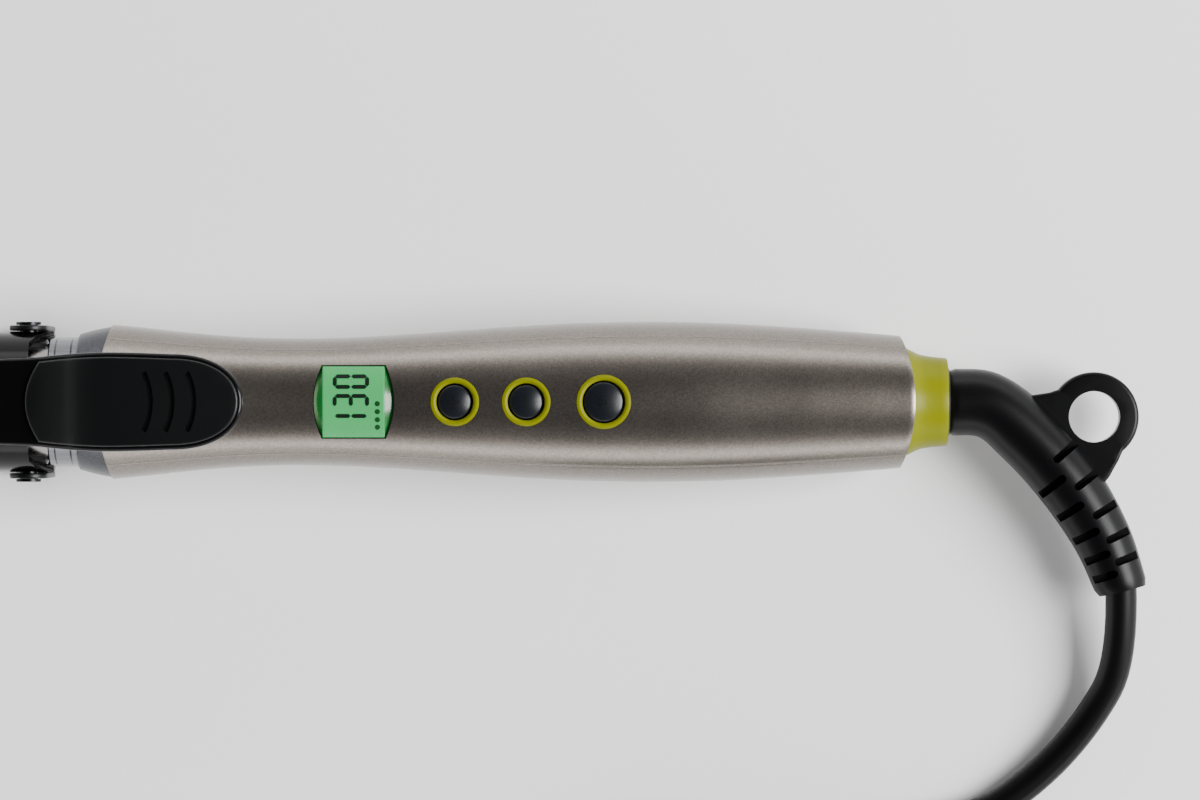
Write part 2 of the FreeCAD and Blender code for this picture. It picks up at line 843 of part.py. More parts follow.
def rounded_path(corners):
    """Straight runs joined by tangent arcs: (wire, list of the arcs' radii)."""
    edges = []
    radii = []
    start = corners[0]
    for place in range(1, len(corners) - 1):
        corner = corners[place]
        arriving = (corner - corners[place - 1]).normalize()
        leaving = (corners[place + 1] - corner).normalize()
        shorter = min(corner.distanceToPoint(corners[place - 1]),
                      corner.distanceToPoint(corners[place + 1]))
        setback = ARC_SHARE * shorter
        half_turn = arriving.getAngle(leaving) / 2
        radius = setback / math.tan(half_turn)
        arc_start = corner - arriving * setback
        arc_end = corner + leaving * setback
        inward = (leaving - arriving).normalize()
        middle = corner + inward * (radius / math.cos(half_turn) - radius)
        edges.append(Part.makeLine(start, arc_start))
        edges.append(Part.Arc(arc_start, middle, arc_end).toShape())
        radii.append(radius)
        start = arc_end
    edges.append(Part.makeLine(start, corners[-1]))
    return Part.Wire(edges), radii


def round_bar_along(name, corners, radius):
    """A round bar swept along straight runs and tangent arcs."""
    wire, radii = rounded_path(corners)
    first = corners[0]
    direction = (corners[1] - first).normalize()
    section = Part.Wire([Part.makeCircle(radius, first, direction)])
    swept = wire.makePipeShell([section], True, False)
    ideal = math.pi * radius * radius * wire.Length
    if abs(swept.Volume / ideal - 1) > 0.01:
        raise RuntimeError("%s: volume %.1f is not its section times its length" % (name, swept.Volume))
    if radii:
        print("%s length %.1f radii %s" % (name, wire.Length, ["%.1f" % item for item in radii]))
    return shapes_of(name + "_bar", swept), wire


def mirrored_leads(name, corners):
    """A lead wire on each side of the iron."""
    leads = []
    for side in (-1, 1):
        points = [Vector(along, across * side, height) for along, across, height in corners]
        leads.append(round_bar_along("%s_%d" % (name, side + 1), points, D["lead_radius"].value)[0])
    return group(name + "_group", *leads)


board_x = D["board_x"].value
board_z = D["board_z"].value
node(
    "heater_leads",
    mirrored_leads(
        "heater_leads",
        [
            (core_rear.value, lead_y, 0.0),
            (board_x + 3.0, lead_y, 0.0),
            (board_x + 3.0, lead_y, board_z),
        ],
    ),
)


# ---------------------------------------------------------------------------
# Display, board and buttons
# ---------------------------------------------------------------------------
board_rear = D["board_x"] + D["board_length"]


def circuit_board():
    holes = [
        Circle(along, across, D["board_screw_radius"]) for along, across in board_screw_places
    ]
    outline = rectangle(D["board_x"], board_rear, -D["board_width"] / 2, D["board_width"] / 2)
    return between("board", "XY", D["board_z"], board_top, outline, *holes)


def board_screws():
    """Four small screws from under the board into the posts."""
    screws = []
    for place, (along, across) in enumerate(board_screw_places):
        head_low = D["board_z"] - 1.2
        shaft = upright("small_shaft%d" % place, along, across, D["board_screw_radius"],
                        head_low, board_top + 3.2)
        head = upright("small_head%d" % place, along, across, D["board_screw_head"],
                       head_low, D["board_z"])
        screws.append(fuse("small_screw%d" % place, shaft, head))
    return group("board_screw_group", *screws)


def board_components():
    """Larger components on the underside: (from the board's front, length, width, height)."""
    blocks = []
    for place, (offset, length, width, height) in enumerate(
        [(12.0, 10.0, 7.0, 3.2), (30.0, 7.0, 7.0, 1.6), (44.0, 12.0, 8.0, 5.0), (62.0, 8.0, 6.0, 4.2)]
    ):
        low = D["board_x"] + offset
        blocks.append(between("component%d" % place, "XY", D["board_z"] - height, D["board_z"],
                              rectangle(low, low + length, -width / 2, width / 2)))
    return group("component_group", *blocks)


def tact_switches():
    """A switch with its plunger under each button."""
    switches = []
    half = D["switch_side"] / 2
    switch_top = board_top + D["switch_height"]
    for name, along, _ in BUTTONS:
        base = between(name + "_switch_base", "XY", board_top, switch_top,
                       rectangle(along - half, along + half, -half, half))
        plunger = upright(name + "_plunger", along, 0, D["plunger_radius"],
                          switch_top, switch_top + D["plunger_height"])
        switches.append(fuse(name + "_switch", base, plunger))
    return group("switch_group", *switches)


def push_button(name, along, radius):
    """A cap in its ring, a flange under the ring and a stem above the switch."""
    ring_top = button_tops[name] - 0.25
    flange_top = ring_top - D["button_ring_depth"] - 0.1
    flange_low = flange_top - D["button_flange_height"]
    plunger_top = board_top + D["switch_height"] + D["plunger_height"]
    cap = upright(name + "_cap", along, 0, radius, flange_top - 0.1, ring_top + 0.45)
    soften(cap, "Chamfer", 0.5, lambda edge: abs(edge.BoundBox.ZMin - edge.BoundBox.ZMax) < 1e-6
           and edge.BoundBox.ZMin > ring_top.value)
    flange = upright(name + "_flange", along, 0, radius + D["button_gap"] + D["button_flange"],
                     flange_low, flange_top)
    stem = upright(name + "_stem", along, 0, D["plunger_radius"] + 0.6,
                   plunger_top + D["button_travel"] + 0.1, flange_low)
    return fuse(name + "_button_solid", cap, flange, stem)


def button_ring(name, along, radius):
    """The lime ring that a button moves in."""
    top = button_tops[name] - 0.25
    outer = Circle(along, 0, ring_radius(radius))
    inner = Circle(along, 0, radius + D["button_gap"])
    return between(name + "_ring_solid", "XY", top - D["button_ring_depth"], top, outer, inner)


window_prism = between("window_prism", "XY", 0, FAR, window_outline())
node("display_window", common("window_solid", shell_wall, window_prism))
node(
    "display_module",
    between(
        "module",
        "XY",
        board_top,
        board_top + D["display_height"],
        rectangle(D["window_x"] - D["display_length"] / 2, D["window_x"] + D["display_length"] / 2,
                  -D["display_width"] / 2, D["display_width"] / 2),
    ),
)
node("circuit_board", circuit_board())
node("board_screws", board_screws())
node("board_components", board_components())
node("tact_switches", tact_switches())
for button_name, button_x, cap_radius in BUTTONS:
    node(button_name + "_button", push_button(button_name, button_x, cap_radius))
    node(button_name + "_ring", button_ring(button_name, button_x, cap_radius))


# ---------------------------------------------------------------------------
# Swivel: hub, contact rings and brushes, retaining ring, cord guard
# ---------------------------------------------------------------------------
collar_end = D["handle_length"] + D["collar_length"]
guard_x = collar_end + 0.4
hub_front = collar_end - D["hub_inner_length"]
groove_x = bulkhead_x - D["collar_flange_length"] - 0.3
groove_depth = 0.8
retainer_length = 1.2


def swivel_hub():
    """Hollow hub with a groove for its retaining ring."""
    radius = D["hub_radius"]
    groove = radius - groove_depth
    return turned(
        "hub_turned",
        [
            (hub_front, D["hub_bore"]),
            (hub_front, radius),
            (groove_x - retainer_length, radius),
            (groove_x - retainer_length, groove),
            (groove_x, groove),
            (groove_x, radius),
            (guard_x, radius),
            (guard_x, D["hub_bore"]),
        ],
    )


contact_starts = [hub_front + 2.0, hub_front + 2.0 + D["ring_spacing"]]


def contact_rings():
    outer = D["hub_radius"] + D["ring_height"]
    return group(
        "contact_group",
        *[ring("contact%d" % place, start, start + D["ring_width"], D["hub_radius"], outer)
          for place, start in enumerate(contact_starts)],
    )


brush_top = -(D["hub_radius"] + D["ring_height"] + 0.3)
brush_height = 1.0
holder_half = 7.0


def contact_brushes():
    return group(
        "brush_group",
        *[between("brush%d" % place, "XY", brush_top - brush_height, brush_top,
                  rectangle(start + 0.2, start + D["ring_width"] - 0.2, -1.6, 1.6))
          for place, start in enumerate(contact_starts)],
    )


def brush_holder():
    """Block on the lower shell's floor that carries the brushes."""
    block = between("holder_block", "XY", -FAR, brush_top - brush_height,
                    rectangle(hub_front, groove_x - retainer_length - 0.4, -holder_half, holder_half))
    return common("holder", block, cavity)


def cord_guard():
    """Tapering bent guard with the hanging loop on the outer side of its bend."""
    sections = []
    for along, across, heading, share in GUARD_SECTIONS:
        radius = D["guard_neck_radius"] + (D["guard_end_radius"] - D["guard_neck_radius"]) * share
        sections.append((collar_end + along, across, heading, radius))
    stalk = lofted("guard_stalk", sections)
    loop_x = collar_end + LOOP_CENTRE[0]
    loop_y = LOOP_CENTRE[1]
    half = D["loop_thickness"] / 2
    loop = between("loop_disc", "XY", -half, half, Circle(loop_x, loop_y, D["loop_radius"]))
    web = between(
        "loop_web",
        "XY",
        -half,
        half,
        [
            (loop_x - 22.0, loop_y + 1.0),
            (loop_x - 6.0, loop_y + 5.6),
            (loop_x, loop_y + 2.0),
            (loop_x + 6.5, loop_y - 6.5),
            (loop_x - 1.0, loop_y - 18.0),
            (loop_x - 12.0, loop_y - 9.0),
        ],
    )
    hole = between("loop_hole", "XY", -FAR, FAR, Circle(loop_x, loop_y, D["loop_hole_radius"]))
    return cut("guard_cut", fuse("guard_solid", stalk, loop, web), hole)


node("swivel_hub", swivel_hub())
node("contact_rings", contact_rings())
node("retaining_ring", ring("retainer", groove_x - retainer_length, groove_x,
                            D["hub_radius"] - groove_depth, D["hub_radius"] + 1.8))
node("contact_brushes", contact_brushes())
node("brush_holder", brush_holder())
node("cord_guard", cord_guard())
holder_middle = (brush_top - brush_height).value - 1.8
node(
    "mains_leads",
    mirrored_leads(
        "mains_leads",
        [
            (hub_front.value, 5.6, holder_middle),
            (board_rear.value - 10.0, 5.6, holder_middle),
            (board_rear.value - 10.0, 5.6, board_z),
        ],
    ),
)


# ---------------------------------------------------------------------------
# Hinge bracket, pins, clip and stand
# ---------------------------------------------------------------------------
pivot_x = -D["pivot_x"]
pin_hole = D["pin_radius"] + D["pin_gap"]
arm_inner = D["saddle_radius"] + D["stand_gap"]
arm_outer = arm_inner + D["stand_thickness"]


def cross_bar(name, radius, low, high):
    """A round bar along Y through the pivot."""
    return between(name, "XZ", low, high, Circle(pivot_x, 0, radius))


def hinge_bracket():
    """Band under the barrel, with the pins' holes in its two raised cheeks."""
    half = D["bracket_length"] / 2
    inner = D["barrel_radius"]
    outer = inner + D["bracket_wall"]
    band = turned("band", rectangle(pivot_x - half, pivot_x + half, -outer, -inner), sweep=220.0)
    return cut("bracket_cut", band, cross_bar("bracket_hole", D["pin_radius"], -FAR, FAR))


def pivot_pins():
    """One pin on each side: through bracket, clip base and stand arm."""
    pins = []
    start = D["barrel_radius"] + 0.05
    head = arm_outer + 0.12
    for place, side in enumerate((-1.0, 1.0)):
        spans = [(start, head, D["pin_radius"]), (head, head + D["pin_head_height"], D["pin_head_radius"])]
        solids = []
        for part_place, (near, far, radius) in enumerate(spans):
            low, high = (near, far) if side > 0 else (-far, -near)
            solids.append(cross_bar("pin%d_%d" % (place, part_place), radius, low, high))
        pins.append(fuse("pin%d" % place, *solids))
    return group("pin_group", *pins)


node("hinge_bracket", hinge_bracket())
node("pivot_pins", pivot_pins())

lever_tip = pivot_x + D["lever_reach"]
# Underside of the lever's arm in side view, from the clip base to the tip.
arm_line = [
    (pivot_x - 6.0, D["saddle_inner_radius"] + 0.3),
    (pivot_x + 2.0, D["saddle_inner_radius"] + 0.8),
    (pivot_x + 12.0, D["cap_edge_radius"] + 3.0),
    (pivot_x + 17.0, D["cap_edge_radius"] + 4.3),
    (pivot_x + 31.0, D["cap_edge_radius"] + 6.2),
    (lever_tip, D["cap_edge_radius"] + 7.6),
]
tong_inner = D["barrel_radius"] + D["tong_gap"]
tong_outer = tong_inner + D["tong_wall"]
saddle_front = pivot_x - D["saddle_front"]
rivet_x = saddle_front + 4.0
rivet_places = [(rivet_x, -4.2), (rivet_x, 4.2)]
rivet_head_radius = D["rivet_radius"] + 0.7
rivet_head_seat = D["saddle_radius"] - 0.6


def raised(line, rise):
    return [(along, height + rise) for along, height in line]


def lever_plan(inset):
    """Plan of the lever: straight sides, round tip."""
    half = D["lever_width"] / 2 - inset
    bend = lever_tip - D["lever_width"] * 0.62
    steps = 6
    rim = []
    for step in range(steps + 1):
        turn = math.radians(90.0 * step / steps)
        rim.append((bend + (lever_tip - inset - bend) * math.sin(turn), half * math.cos(turn)))
    left = [(along, -across) for along, across in reversed(rim[:-1])]
    return rim + left + [(arm_line[0][0] + inset, -half), (arm_line[0][0] + inset, half)]


def lever_layer(name, low_rise, high_rise, inset):
    """A layer of the lever between two heights above its underside."""
    profile = raised(arm_line, low_rise) + list(reversed(raised(arm_line, high_rise)))
    slab = between(name + "_slab", "XZ", -D["lever_width"] / 2, D["lever_width"] / 2, profile)
    plan = between(name + "_plan", "XY", 0, FAR, lever_plan(inset))
    return common(name, slab, plan)


def clip_base():
    """Saddle round the barrel's root with the arm that carries the thumb pad."""
    saddle = turned(
        "saddle",
        rectangle(saddle_front, pivot_x + D["saddle_rear"], D["saddle_inner_radius"], D["saddle_radius"]),
        sweep=2 * D["saddle_half_angle"],
    )
    # The upper rear is cut away so that the opening clip clears the ferrule.
    rear_x = pivot_x + D["saddle_rear"]
    clearance = between("saddle_clearance", "XZ", -FAR, FAR, [
        (rear_x, 0.0),
        (rear_x + 2.0, 0.0),
        (rear_x + 2.0, FAR),
        (pivot_x + 0.8, FAR),
        (pivot_x + 0.8, 8.0),
    ])
    arm = lever_layer("arm", 0.0, D["lever_arm"], 0.0)
    solid = fuse("base_solid", cut("saddle_cleared", saddle, clearance), arm)
    holes = [cross_bar("base_hole", pin_hole, -FAR, FAR)]
    for place, (along, across) in enumerate(rivet_places):
        holes.append(upright("base_rivet_hole%d" % place, along, across, D["rivet_radius"], 0, FAR))
        holes.append(upright("base_rivet_recess%d" % place, along, across, rivet_head_radius,
                             rivet_head_seat, FAR))
    return cut("base_cut", solid, *holes)


def clip_tong():
    """Sheet-metal tong over the barrel, riveted under the clip base."""
    front = barrel_front - 3.0
    sheet_body = turned("tong_sheet", rectangle(front, saddle_front + 8.0, tong_inner, tong_outer),
                        sweep=2 * D["tong_half_angle"])
    holes = [upright("tong_rivet_hole%d" % place, along, across, D["rivet_radius"], 0, FAR)
             for place, (along, across) in enumerate(rivet_places)]
    return cut("tong_cut", sheet_body, *holes)


def clip_rivets():
    """Two rivets through tong and clip base, flush with the tong's inside."""
    rivets = []
    for place, (along, across) in enumerate(rivet_places):
        bar = upright("rivet_bar%d" % place, along, across, D["rivet_radius"],
                      D["saddle_radius"] - 5.0, D["saddle_radius"])
        head = upright("rivet_head%d" % place, along, across, rivet_head_radius,
                       rivet_head_seat, D["saddle_radius"] + 0.3)
        below = between("rivet_below%d" % place, "YZ", saddle_front, saddle_front + 8.0,
                        Circle(0, 0, tong_inner))
        rivets.append(cut("rivet_cut%d" % place, fuse("rivet%d" % place, bar, head), below))
    return group("rivet_group", *rivets)


def clip_lever():
    """Thumb pad on the arm, with three curved grip grooves."""
    pad = lever_layer("pad", D["lever_arm"], D["lever_arm"] + D["lever_pad"], D["lever_rim"])
    groove_bend = 14.0
    grooves = []
    for place in range(3):
        middle = lever_tip - 10.4 - D["groove_pitch"] * place
        half = D["groove_width"] / 2
        centre = middle - groove_bend
        arc = between("groove_arc%d" % place, "XY", 0, FAR, Circle(centre, 0, groove_bend + half),
                      Circle(centre, 0, groove_bend - half))
        window = between("groove_window%d" % place, "XY", 0, FAR,
                         rectangle(middle - 4, middle + 4, -6.6, 6.6))
        layer = lever_layer("groove_layer%d" % place, D["lever_arm"] + D["lever_pad"] - D["groove_depth"],
                            D["lever_arm"] + D["lever_pad"] + 1.0, 0.0)
        grooves.append(common("groove%d" % place, common("groove_bar%d" % place, arc, window), layer))
    return cut("lever_cut", pad, *grooves)


def clip_spring():
    """Leaf spring under the arm, its free end on the ferrule."""
    thickness = 0.5
    foot = D["ferrule_radius"]
    low_x, low_z = arm_line[3]
    high_x, high_z = arm_line[4]
    run = high_x - low_x
    rise = high_z - low_z
    seat = [(low_x + run * share, low_z + rise * share) for share in (0.24, 0.62)]
    profile = [
        seat[0],
        seat[1],
        (seat[1][0], seat[1][1] - thickness),
        (seat[0][0] + 0.1, seat[0][1] - thickness),
        (-2.2, foot),
        (-4.4, foot),
        (-2.6, foot + thickness),
    ]
    return between("leaf", "XZ", -4.0, 4.0, profile)


node("clip_base", clip_base())
node("clip_tong", clip_tong())
node("clip_rivets", clip_rivets())
node("clip_lever", clip_lever())
node("clip_spring", clip_spring())


def stand():
    """Two flat arms on the pivot pins and the foot bar between them."""
    half = D["stand_width"] / 2
    foot_half = D["foot_width"] / 2
    corner = 1.6
    front_x = pivot_x - foot_half
    rear_x = pivot_x + foot_half
    foot = [
        (front_x, floor_below(front_x)),
        (rear_x, floor_below(rear_x)),
        (rear_x, floor_below(rear_x) + D["foot_height"]),
        (front_x, floor_below(front_x) + D["foot_height"]),
    ]
    arm = [
        foot[0],
        foot[1],
        (pivot_x + half, -half),
        (pivot_x + half, half - corner),
        (pivot_x + half - corner, half),
        (pivot_x - half + corner, half),
        (pivot_x - half, half - corner),
        (pivot_x - half, -half),
    ]
    left = between("left_arm", "XZ", arm_inner, arm_outer, arm)
    right = between("right_arm", "XZ", -arm_outer, -arm_inner, arm)
    bar = between("foot_bar", "XZ", -arm_outer, arm_outer, foot)
    solid = fuse("stand_solid", left, right, bar)
    return cut("stand_cut", solid, cross_bar("stand_hole", pin_hole, -FAR, FAR))


node("stand", stand())


# ---------------------------------------------------------------------------
# Cord, coil and plug, lying on the surface
# ---------------------------------------------------------------------------
cord_radius = D["cord_radius"].value
outer_turn = D["coil_mid_radius"] + D["coil_spread"] / 2
coil_outer = outer_turn + D["cord_radius"]
coil_inner = D["coil_mid_radius"] - D["coil_spread"] / 2 - D["cord_radius"]
coil_height = D["cord_radius"] * 2.0 * D["coil_layers"]
entry_turn = math.radians(90.0)
exit_turn = math.radians(270.0)
entry = CORD_ROUTE[-1]
coil_x = entry[0] - outer_turn.value * math.cos(entry_turn)
coil_y = entry[1] - outer_turn.value * math.sin(entry_turn)

corners = [Vector(*place) for place in CORD_ROUTE]
cord_tube, cord_wire = round_bar_along("power_cord", corners, cord_radius)
node("power_cord", cord_tube, LEVEL)

coil = between("coil", "XY", 0, coil_height, Circle(coil_x, coil_y, coil_outer),
               Circle(coil_x, coil_y, coil_inner))
soften(coil, "Fillet", D["cord_radius"] * 0.9, lambda edge: abs(edge.BoundBox.ZLength) < 1e-6)
node("cord_coil", coil, LEVEL)

last_drift = 2.0 * cord_radius * (exit_turn - entry_turn) / (2.0 * math.pi)
tail_y = coil_y - outer_turn.value - last_drift
tail_z = D["plug_height"].value / 2
plug_x = coil_x + D["tail_length"].value
tail_ends = [Vector(coil_x, tail_y, tail_z), Vector(plug_x, tail_y, tail_z)]
cord_tail, tail_wire = round_bar_along("cord_tail", tail_ends, cord_radius)
node("cord_tail", cord_tail, LEVEL)


def plug_body():
    """Flat two-pin plug: a narrow neck that widens to the face."""
    half = D["plug_width"] / 2
    face = plug_x + D["plug_length"]
    outline = [
        (Size.of(plug_x), tail_y - 6.0),
        (face - 14.0, tail_y - half),
        (face, tail_y - half),
        (face, tail_y + half),
        (face - 14.0, tail_y + half),
        (Size.of(plug_x), tail_y + 6.0),
    ]
    body = between("plug_blank", "XY", 0, D["plug_height"], outline)
    return soften(body, "Fillet", 3.0, lambda edge: edge.BoundBox.XLength > 13.0
                  and edge.BoundBox.ZLength < 1e-6)


def plug_pins():
    face = plug_x + D["plug_length"]
    pins = []
    for place, side in enumerate((-0.5, 0.5)):
        across = tail_y + D["plug_pin_spacing"] * side
        pins.append(between("plug_pin%d" % place, "YZ", face, face + D["plug_pin_length"],
                            Circle(across, D["plug_height"] / 2, D["plug_pin_radius"])))
    return group("plug_pin_group", *pins)


node("plug_body", plug_body(), LEVEL)
node("plug_pins", plug_pins(), LEVEL)

# ---------------------------------------------------------------------------
# Place everything, check it and write it
# ---------------------------------------------------------------------------
CORD_PIECES = {"cord_guard", "power_cord", "cord_coil", "cord_tail", "plug_body", "plug_pins"}
doc.recompute()


def lying(shape):
    """The shape leaning on the stand, before the origin is centred."""
    moved = shape.copy()
    moved.Placement = FreeCAD.Placement(Vector(0, 0, rest_height.value), tilt).multiply(moved.Placement)
    return moved


def centre_shift():
    """How far the iron's own box is off the origin along X."""
    boxes = [lying(item.Shape).optimalBoundingBox() for name, item in TILTED.items()
             if name not in CORD_PIECES]
    return -(min(box.XMin for box in boxes) + max(box.XMax for box in boxes)) / 2


shift = centre_shift()
iron_place = FreeCAD.Placement(Vector(shift, 0, rest_height.value), tilt)
floor_place = FreeCAD.Placement(Vector(shift, 0, 0), FreeCAD.Rotation())
for item in TILTED.values():
    item.Placement = iron_place
for item in LEVEL.values():
    item.Placement = floor_place
doc.recompute()

broken = [item.Name for item in doc.Objects if "Invalid" in item.State or "Error" in item.State]
if broken:
    raise RuntimeError("failed objects: %s" % ", ".join(broken))
os.makedirs("parts", exist_ok=True)
for name, item in {**TILTED, **LEVEL}.items():
    shape = item.Shape
    if shape.isNull() or not shape.isValid() or not shape.Solids:
        raise RuntimeError("%s has no valid solid" % name)
    shape.exportStep("parts/%s.step" % name)

turns = D["coil_layers"].value * D["coil_spread"].value / (2.0 * cord_radius) + 1.0
turns += (exit_turn - entry_turn) / (2.0 * math.pi)
cord_length = cord_wire.Length + tail_wire.Length + turns * 2.0 * math.pi * D["coil_mid_radius"].value
print("rest height %.3f, shift %.3f, cord %.0f mm in %.2f turns" % (
    rest_height.value, shift, cord_length, turns))
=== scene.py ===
"""Curling iron on its bench: meshes, finishes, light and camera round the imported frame."""

import json
import logging
import math
from dataclasses import dataclass
from enum import Enum
from typing import Any, Callable, Dict, List, Optional, Sequence, Tuple, Union

import bmesh
import bpy
from mathutils import Matrix, Vector


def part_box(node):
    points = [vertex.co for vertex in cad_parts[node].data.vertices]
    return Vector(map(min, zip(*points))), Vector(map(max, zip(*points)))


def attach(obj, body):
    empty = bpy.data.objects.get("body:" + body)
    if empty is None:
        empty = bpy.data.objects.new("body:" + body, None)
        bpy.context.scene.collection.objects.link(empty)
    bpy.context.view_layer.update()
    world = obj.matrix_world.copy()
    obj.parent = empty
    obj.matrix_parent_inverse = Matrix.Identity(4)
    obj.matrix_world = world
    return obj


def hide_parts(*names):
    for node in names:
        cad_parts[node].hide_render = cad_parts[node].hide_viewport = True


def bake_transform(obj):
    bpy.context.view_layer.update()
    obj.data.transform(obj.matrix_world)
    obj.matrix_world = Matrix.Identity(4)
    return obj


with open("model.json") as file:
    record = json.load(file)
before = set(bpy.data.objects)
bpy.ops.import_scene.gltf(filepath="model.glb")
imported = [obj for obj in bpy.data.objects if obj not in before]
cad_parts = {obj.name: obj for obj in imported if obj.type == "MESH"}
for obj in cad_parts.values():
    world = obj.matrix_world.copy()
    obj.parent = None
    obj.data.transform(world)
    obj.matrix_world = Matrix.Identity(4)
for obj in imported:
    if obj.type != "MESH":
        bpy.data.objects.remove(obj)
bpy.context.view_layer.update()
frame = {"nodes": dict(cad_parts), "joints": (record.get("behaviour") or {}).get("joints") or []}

LOG = logging.getLogger("curling_iron")

Point2 = Tuple[float, float]
Point3 = Tuple[float, float, float]
Colour = Tuple[float, float, float]

MM = 0.001
FAR = 60.0


# ---------------------------------------------------------------------------
# Places and curves
# ---------------------------------------------------------------------------
@dataclass(frozen=True)
class IronFrame:
    """The iron's own frame in millimetres, X towards the cord, Z out of the buttons."""

    origin: Vector
    tilt: float

    PIVOT_X = -11.0

    @classmethod
    def from_joints(cls, joints: Sequence[Dict[str, Any]]) -> "IronFrame":
        """Read the lean of the iron from its joints.

        Args:
            joints: The record's joints.

        Returns:
            The iron's frame.
        """
        named = {joint["name"]: joint for joint in joints}
        axis = Vector(named["cord_swivel_hinge"]["axis"])
        tilt = math.atan2(axis.z, -axis.x)
        pivot = Vector(named["clip_hinge"]["pos_m"])
        turn = Matrix.Rotation(tilt, 3, "Y")
        return cls(pivot - turn @ Vector((cls.PIVOT_X * MM, 0.0, 0.0)), tilt)

    @property
    def matrix(self) -> Matrix:
        """Iron millimetres to the row frame's metres."""
        turn = Matrix.Rotation(self.tilt, 4, "Y")
        return Matrix.Translation(self.origin) @ turn @ Matrix.Scale(MM, 4)

    def point(self, along: float, across: float, height: float) -> Vector:
        """A point in iron millimetres, in the row frame's metres."""
        return self.matrix @ Vector((along, across, height))


IRON = IronFrame.from_joints(frame["joints"])
ROW_MM = Matrix.Scale(MM, 4)


@dataclass(frozen=True)
class Contour:
    """A smooth line through (along, value) stations."""

    stations: Sequence[Point2]

    def at(self, along: float) -> float:
        """Value of the line at a distance along it.

        Args:
            along: The distance.

        Returns:
            The value, held constant past both ends.
        """
        stations = self.stations
        if along <= stations[0][0]:
            return stations[0][1]
        if along >= stations[-1][0]:
            return stations[-1][1]
        place = max(i for i, station in enumerate(stations) if station[0] <= along)
        (x0, y0), (x1, y1) = stations[place], stations[place + 1]
        span = x1 - x0
        share = (along - x0) / span
        start, end = self._slope(place) * span, self._slope(place + 1) * span
        square, cube = share**2, share**3
        return (
            (2 * cube - 3 * square + 1) * y0
            + (cube - 2 * square + share) * start
            + (3 * square - 2 * cube) * y1
            + (cube - square) * end
        )

    def _slope(self, place: int) -> float:
        """Slope of the line at one of its stations."""
        before = self.stations[max(place - 1, 0)]
        after = self.stations[min(place + 1, len(self.stations) - 1)]
        return (after[1] - before[1]) / (after[0] - before[0])


@dataclass(frozen=True)
class HandleForm:
    """Outside of the handle and its seams, in iron millimetres."""

    contour: Contour = Contour((
        (4.7, 16.83), (14.0, 15.94), (24.0, 14.86), (36.0, 13.9), (49.0, 13.6),
        (62.0, 14.0), (76.0, 14.9), (92.0, 16.07), (106.0, 16.85), (121.7, 17.2),
        (137.0, 16.93), (152.0, 16.1), (166.0, 15.07), (179.0, 14.0),
    ))
    cap_contour: Contour = Contour(((0.5, 14.7), (3.6, 15.53), (8.6, 16.5)))
    seam_x: float = 4.7
    seam_bend: float = 55.0
    end_x: float = 179.0
    end_bend: float = 38.0

    def radius(self, along: float) -> float:
        """Radius of the handle at a distance along it."""
        return self.contour.at(along)

    def height(self, along: float, across: float) -> float:
        """Height of the handle's upper surface over a point of its plan."""
        return math.sqrt(max(self.radius(along) ** 2 - across**2, 0.0))

    def front_seam(self, angle: float) -> float:
        """Where the shells begin at an angle from the ridge, in radians."""
        return self._edge(angle, self.seam_x, lambda across: self.seam_bend
                          - math.sqrt(self.seam_bend**2 - across**2))

    def rear_edge(self, angle: float) -> float:
        """Where the shells end at an angle from the ridge, in radians."""
        return self._edge(angle, self.end_x, lambda across: math.sqrt(
            self.end_bend**2 - across**2) - self.end_bend)

    def _edge(self, angle: float, start: float, rule: Callable[[float], float]) -> float:
        """Solve an edge that is bowed in plan.

        Args:
            angle: Angle from the ridge, in radians.
            start: The edge's place on the ridge.
            rule: Shift of the edge at a distance across.

        Returns:
            The edge's place along the handle.
        """
        along = start
        for _ in range(4):
            along = start + rule(self.radius(along) * math.sin(angle))
        return along


# ---------------------------------------------------------------------------
# Shapes
# ---------------------------------------------------------------------------
class Axis(Enum):
    """An axis to turn or extrude about."""

    X = (1.0, 0.0, 0.0)
    Y = (0.0, 1.0, 0.0)
    Z = (0.0, 0.0, 1.0)


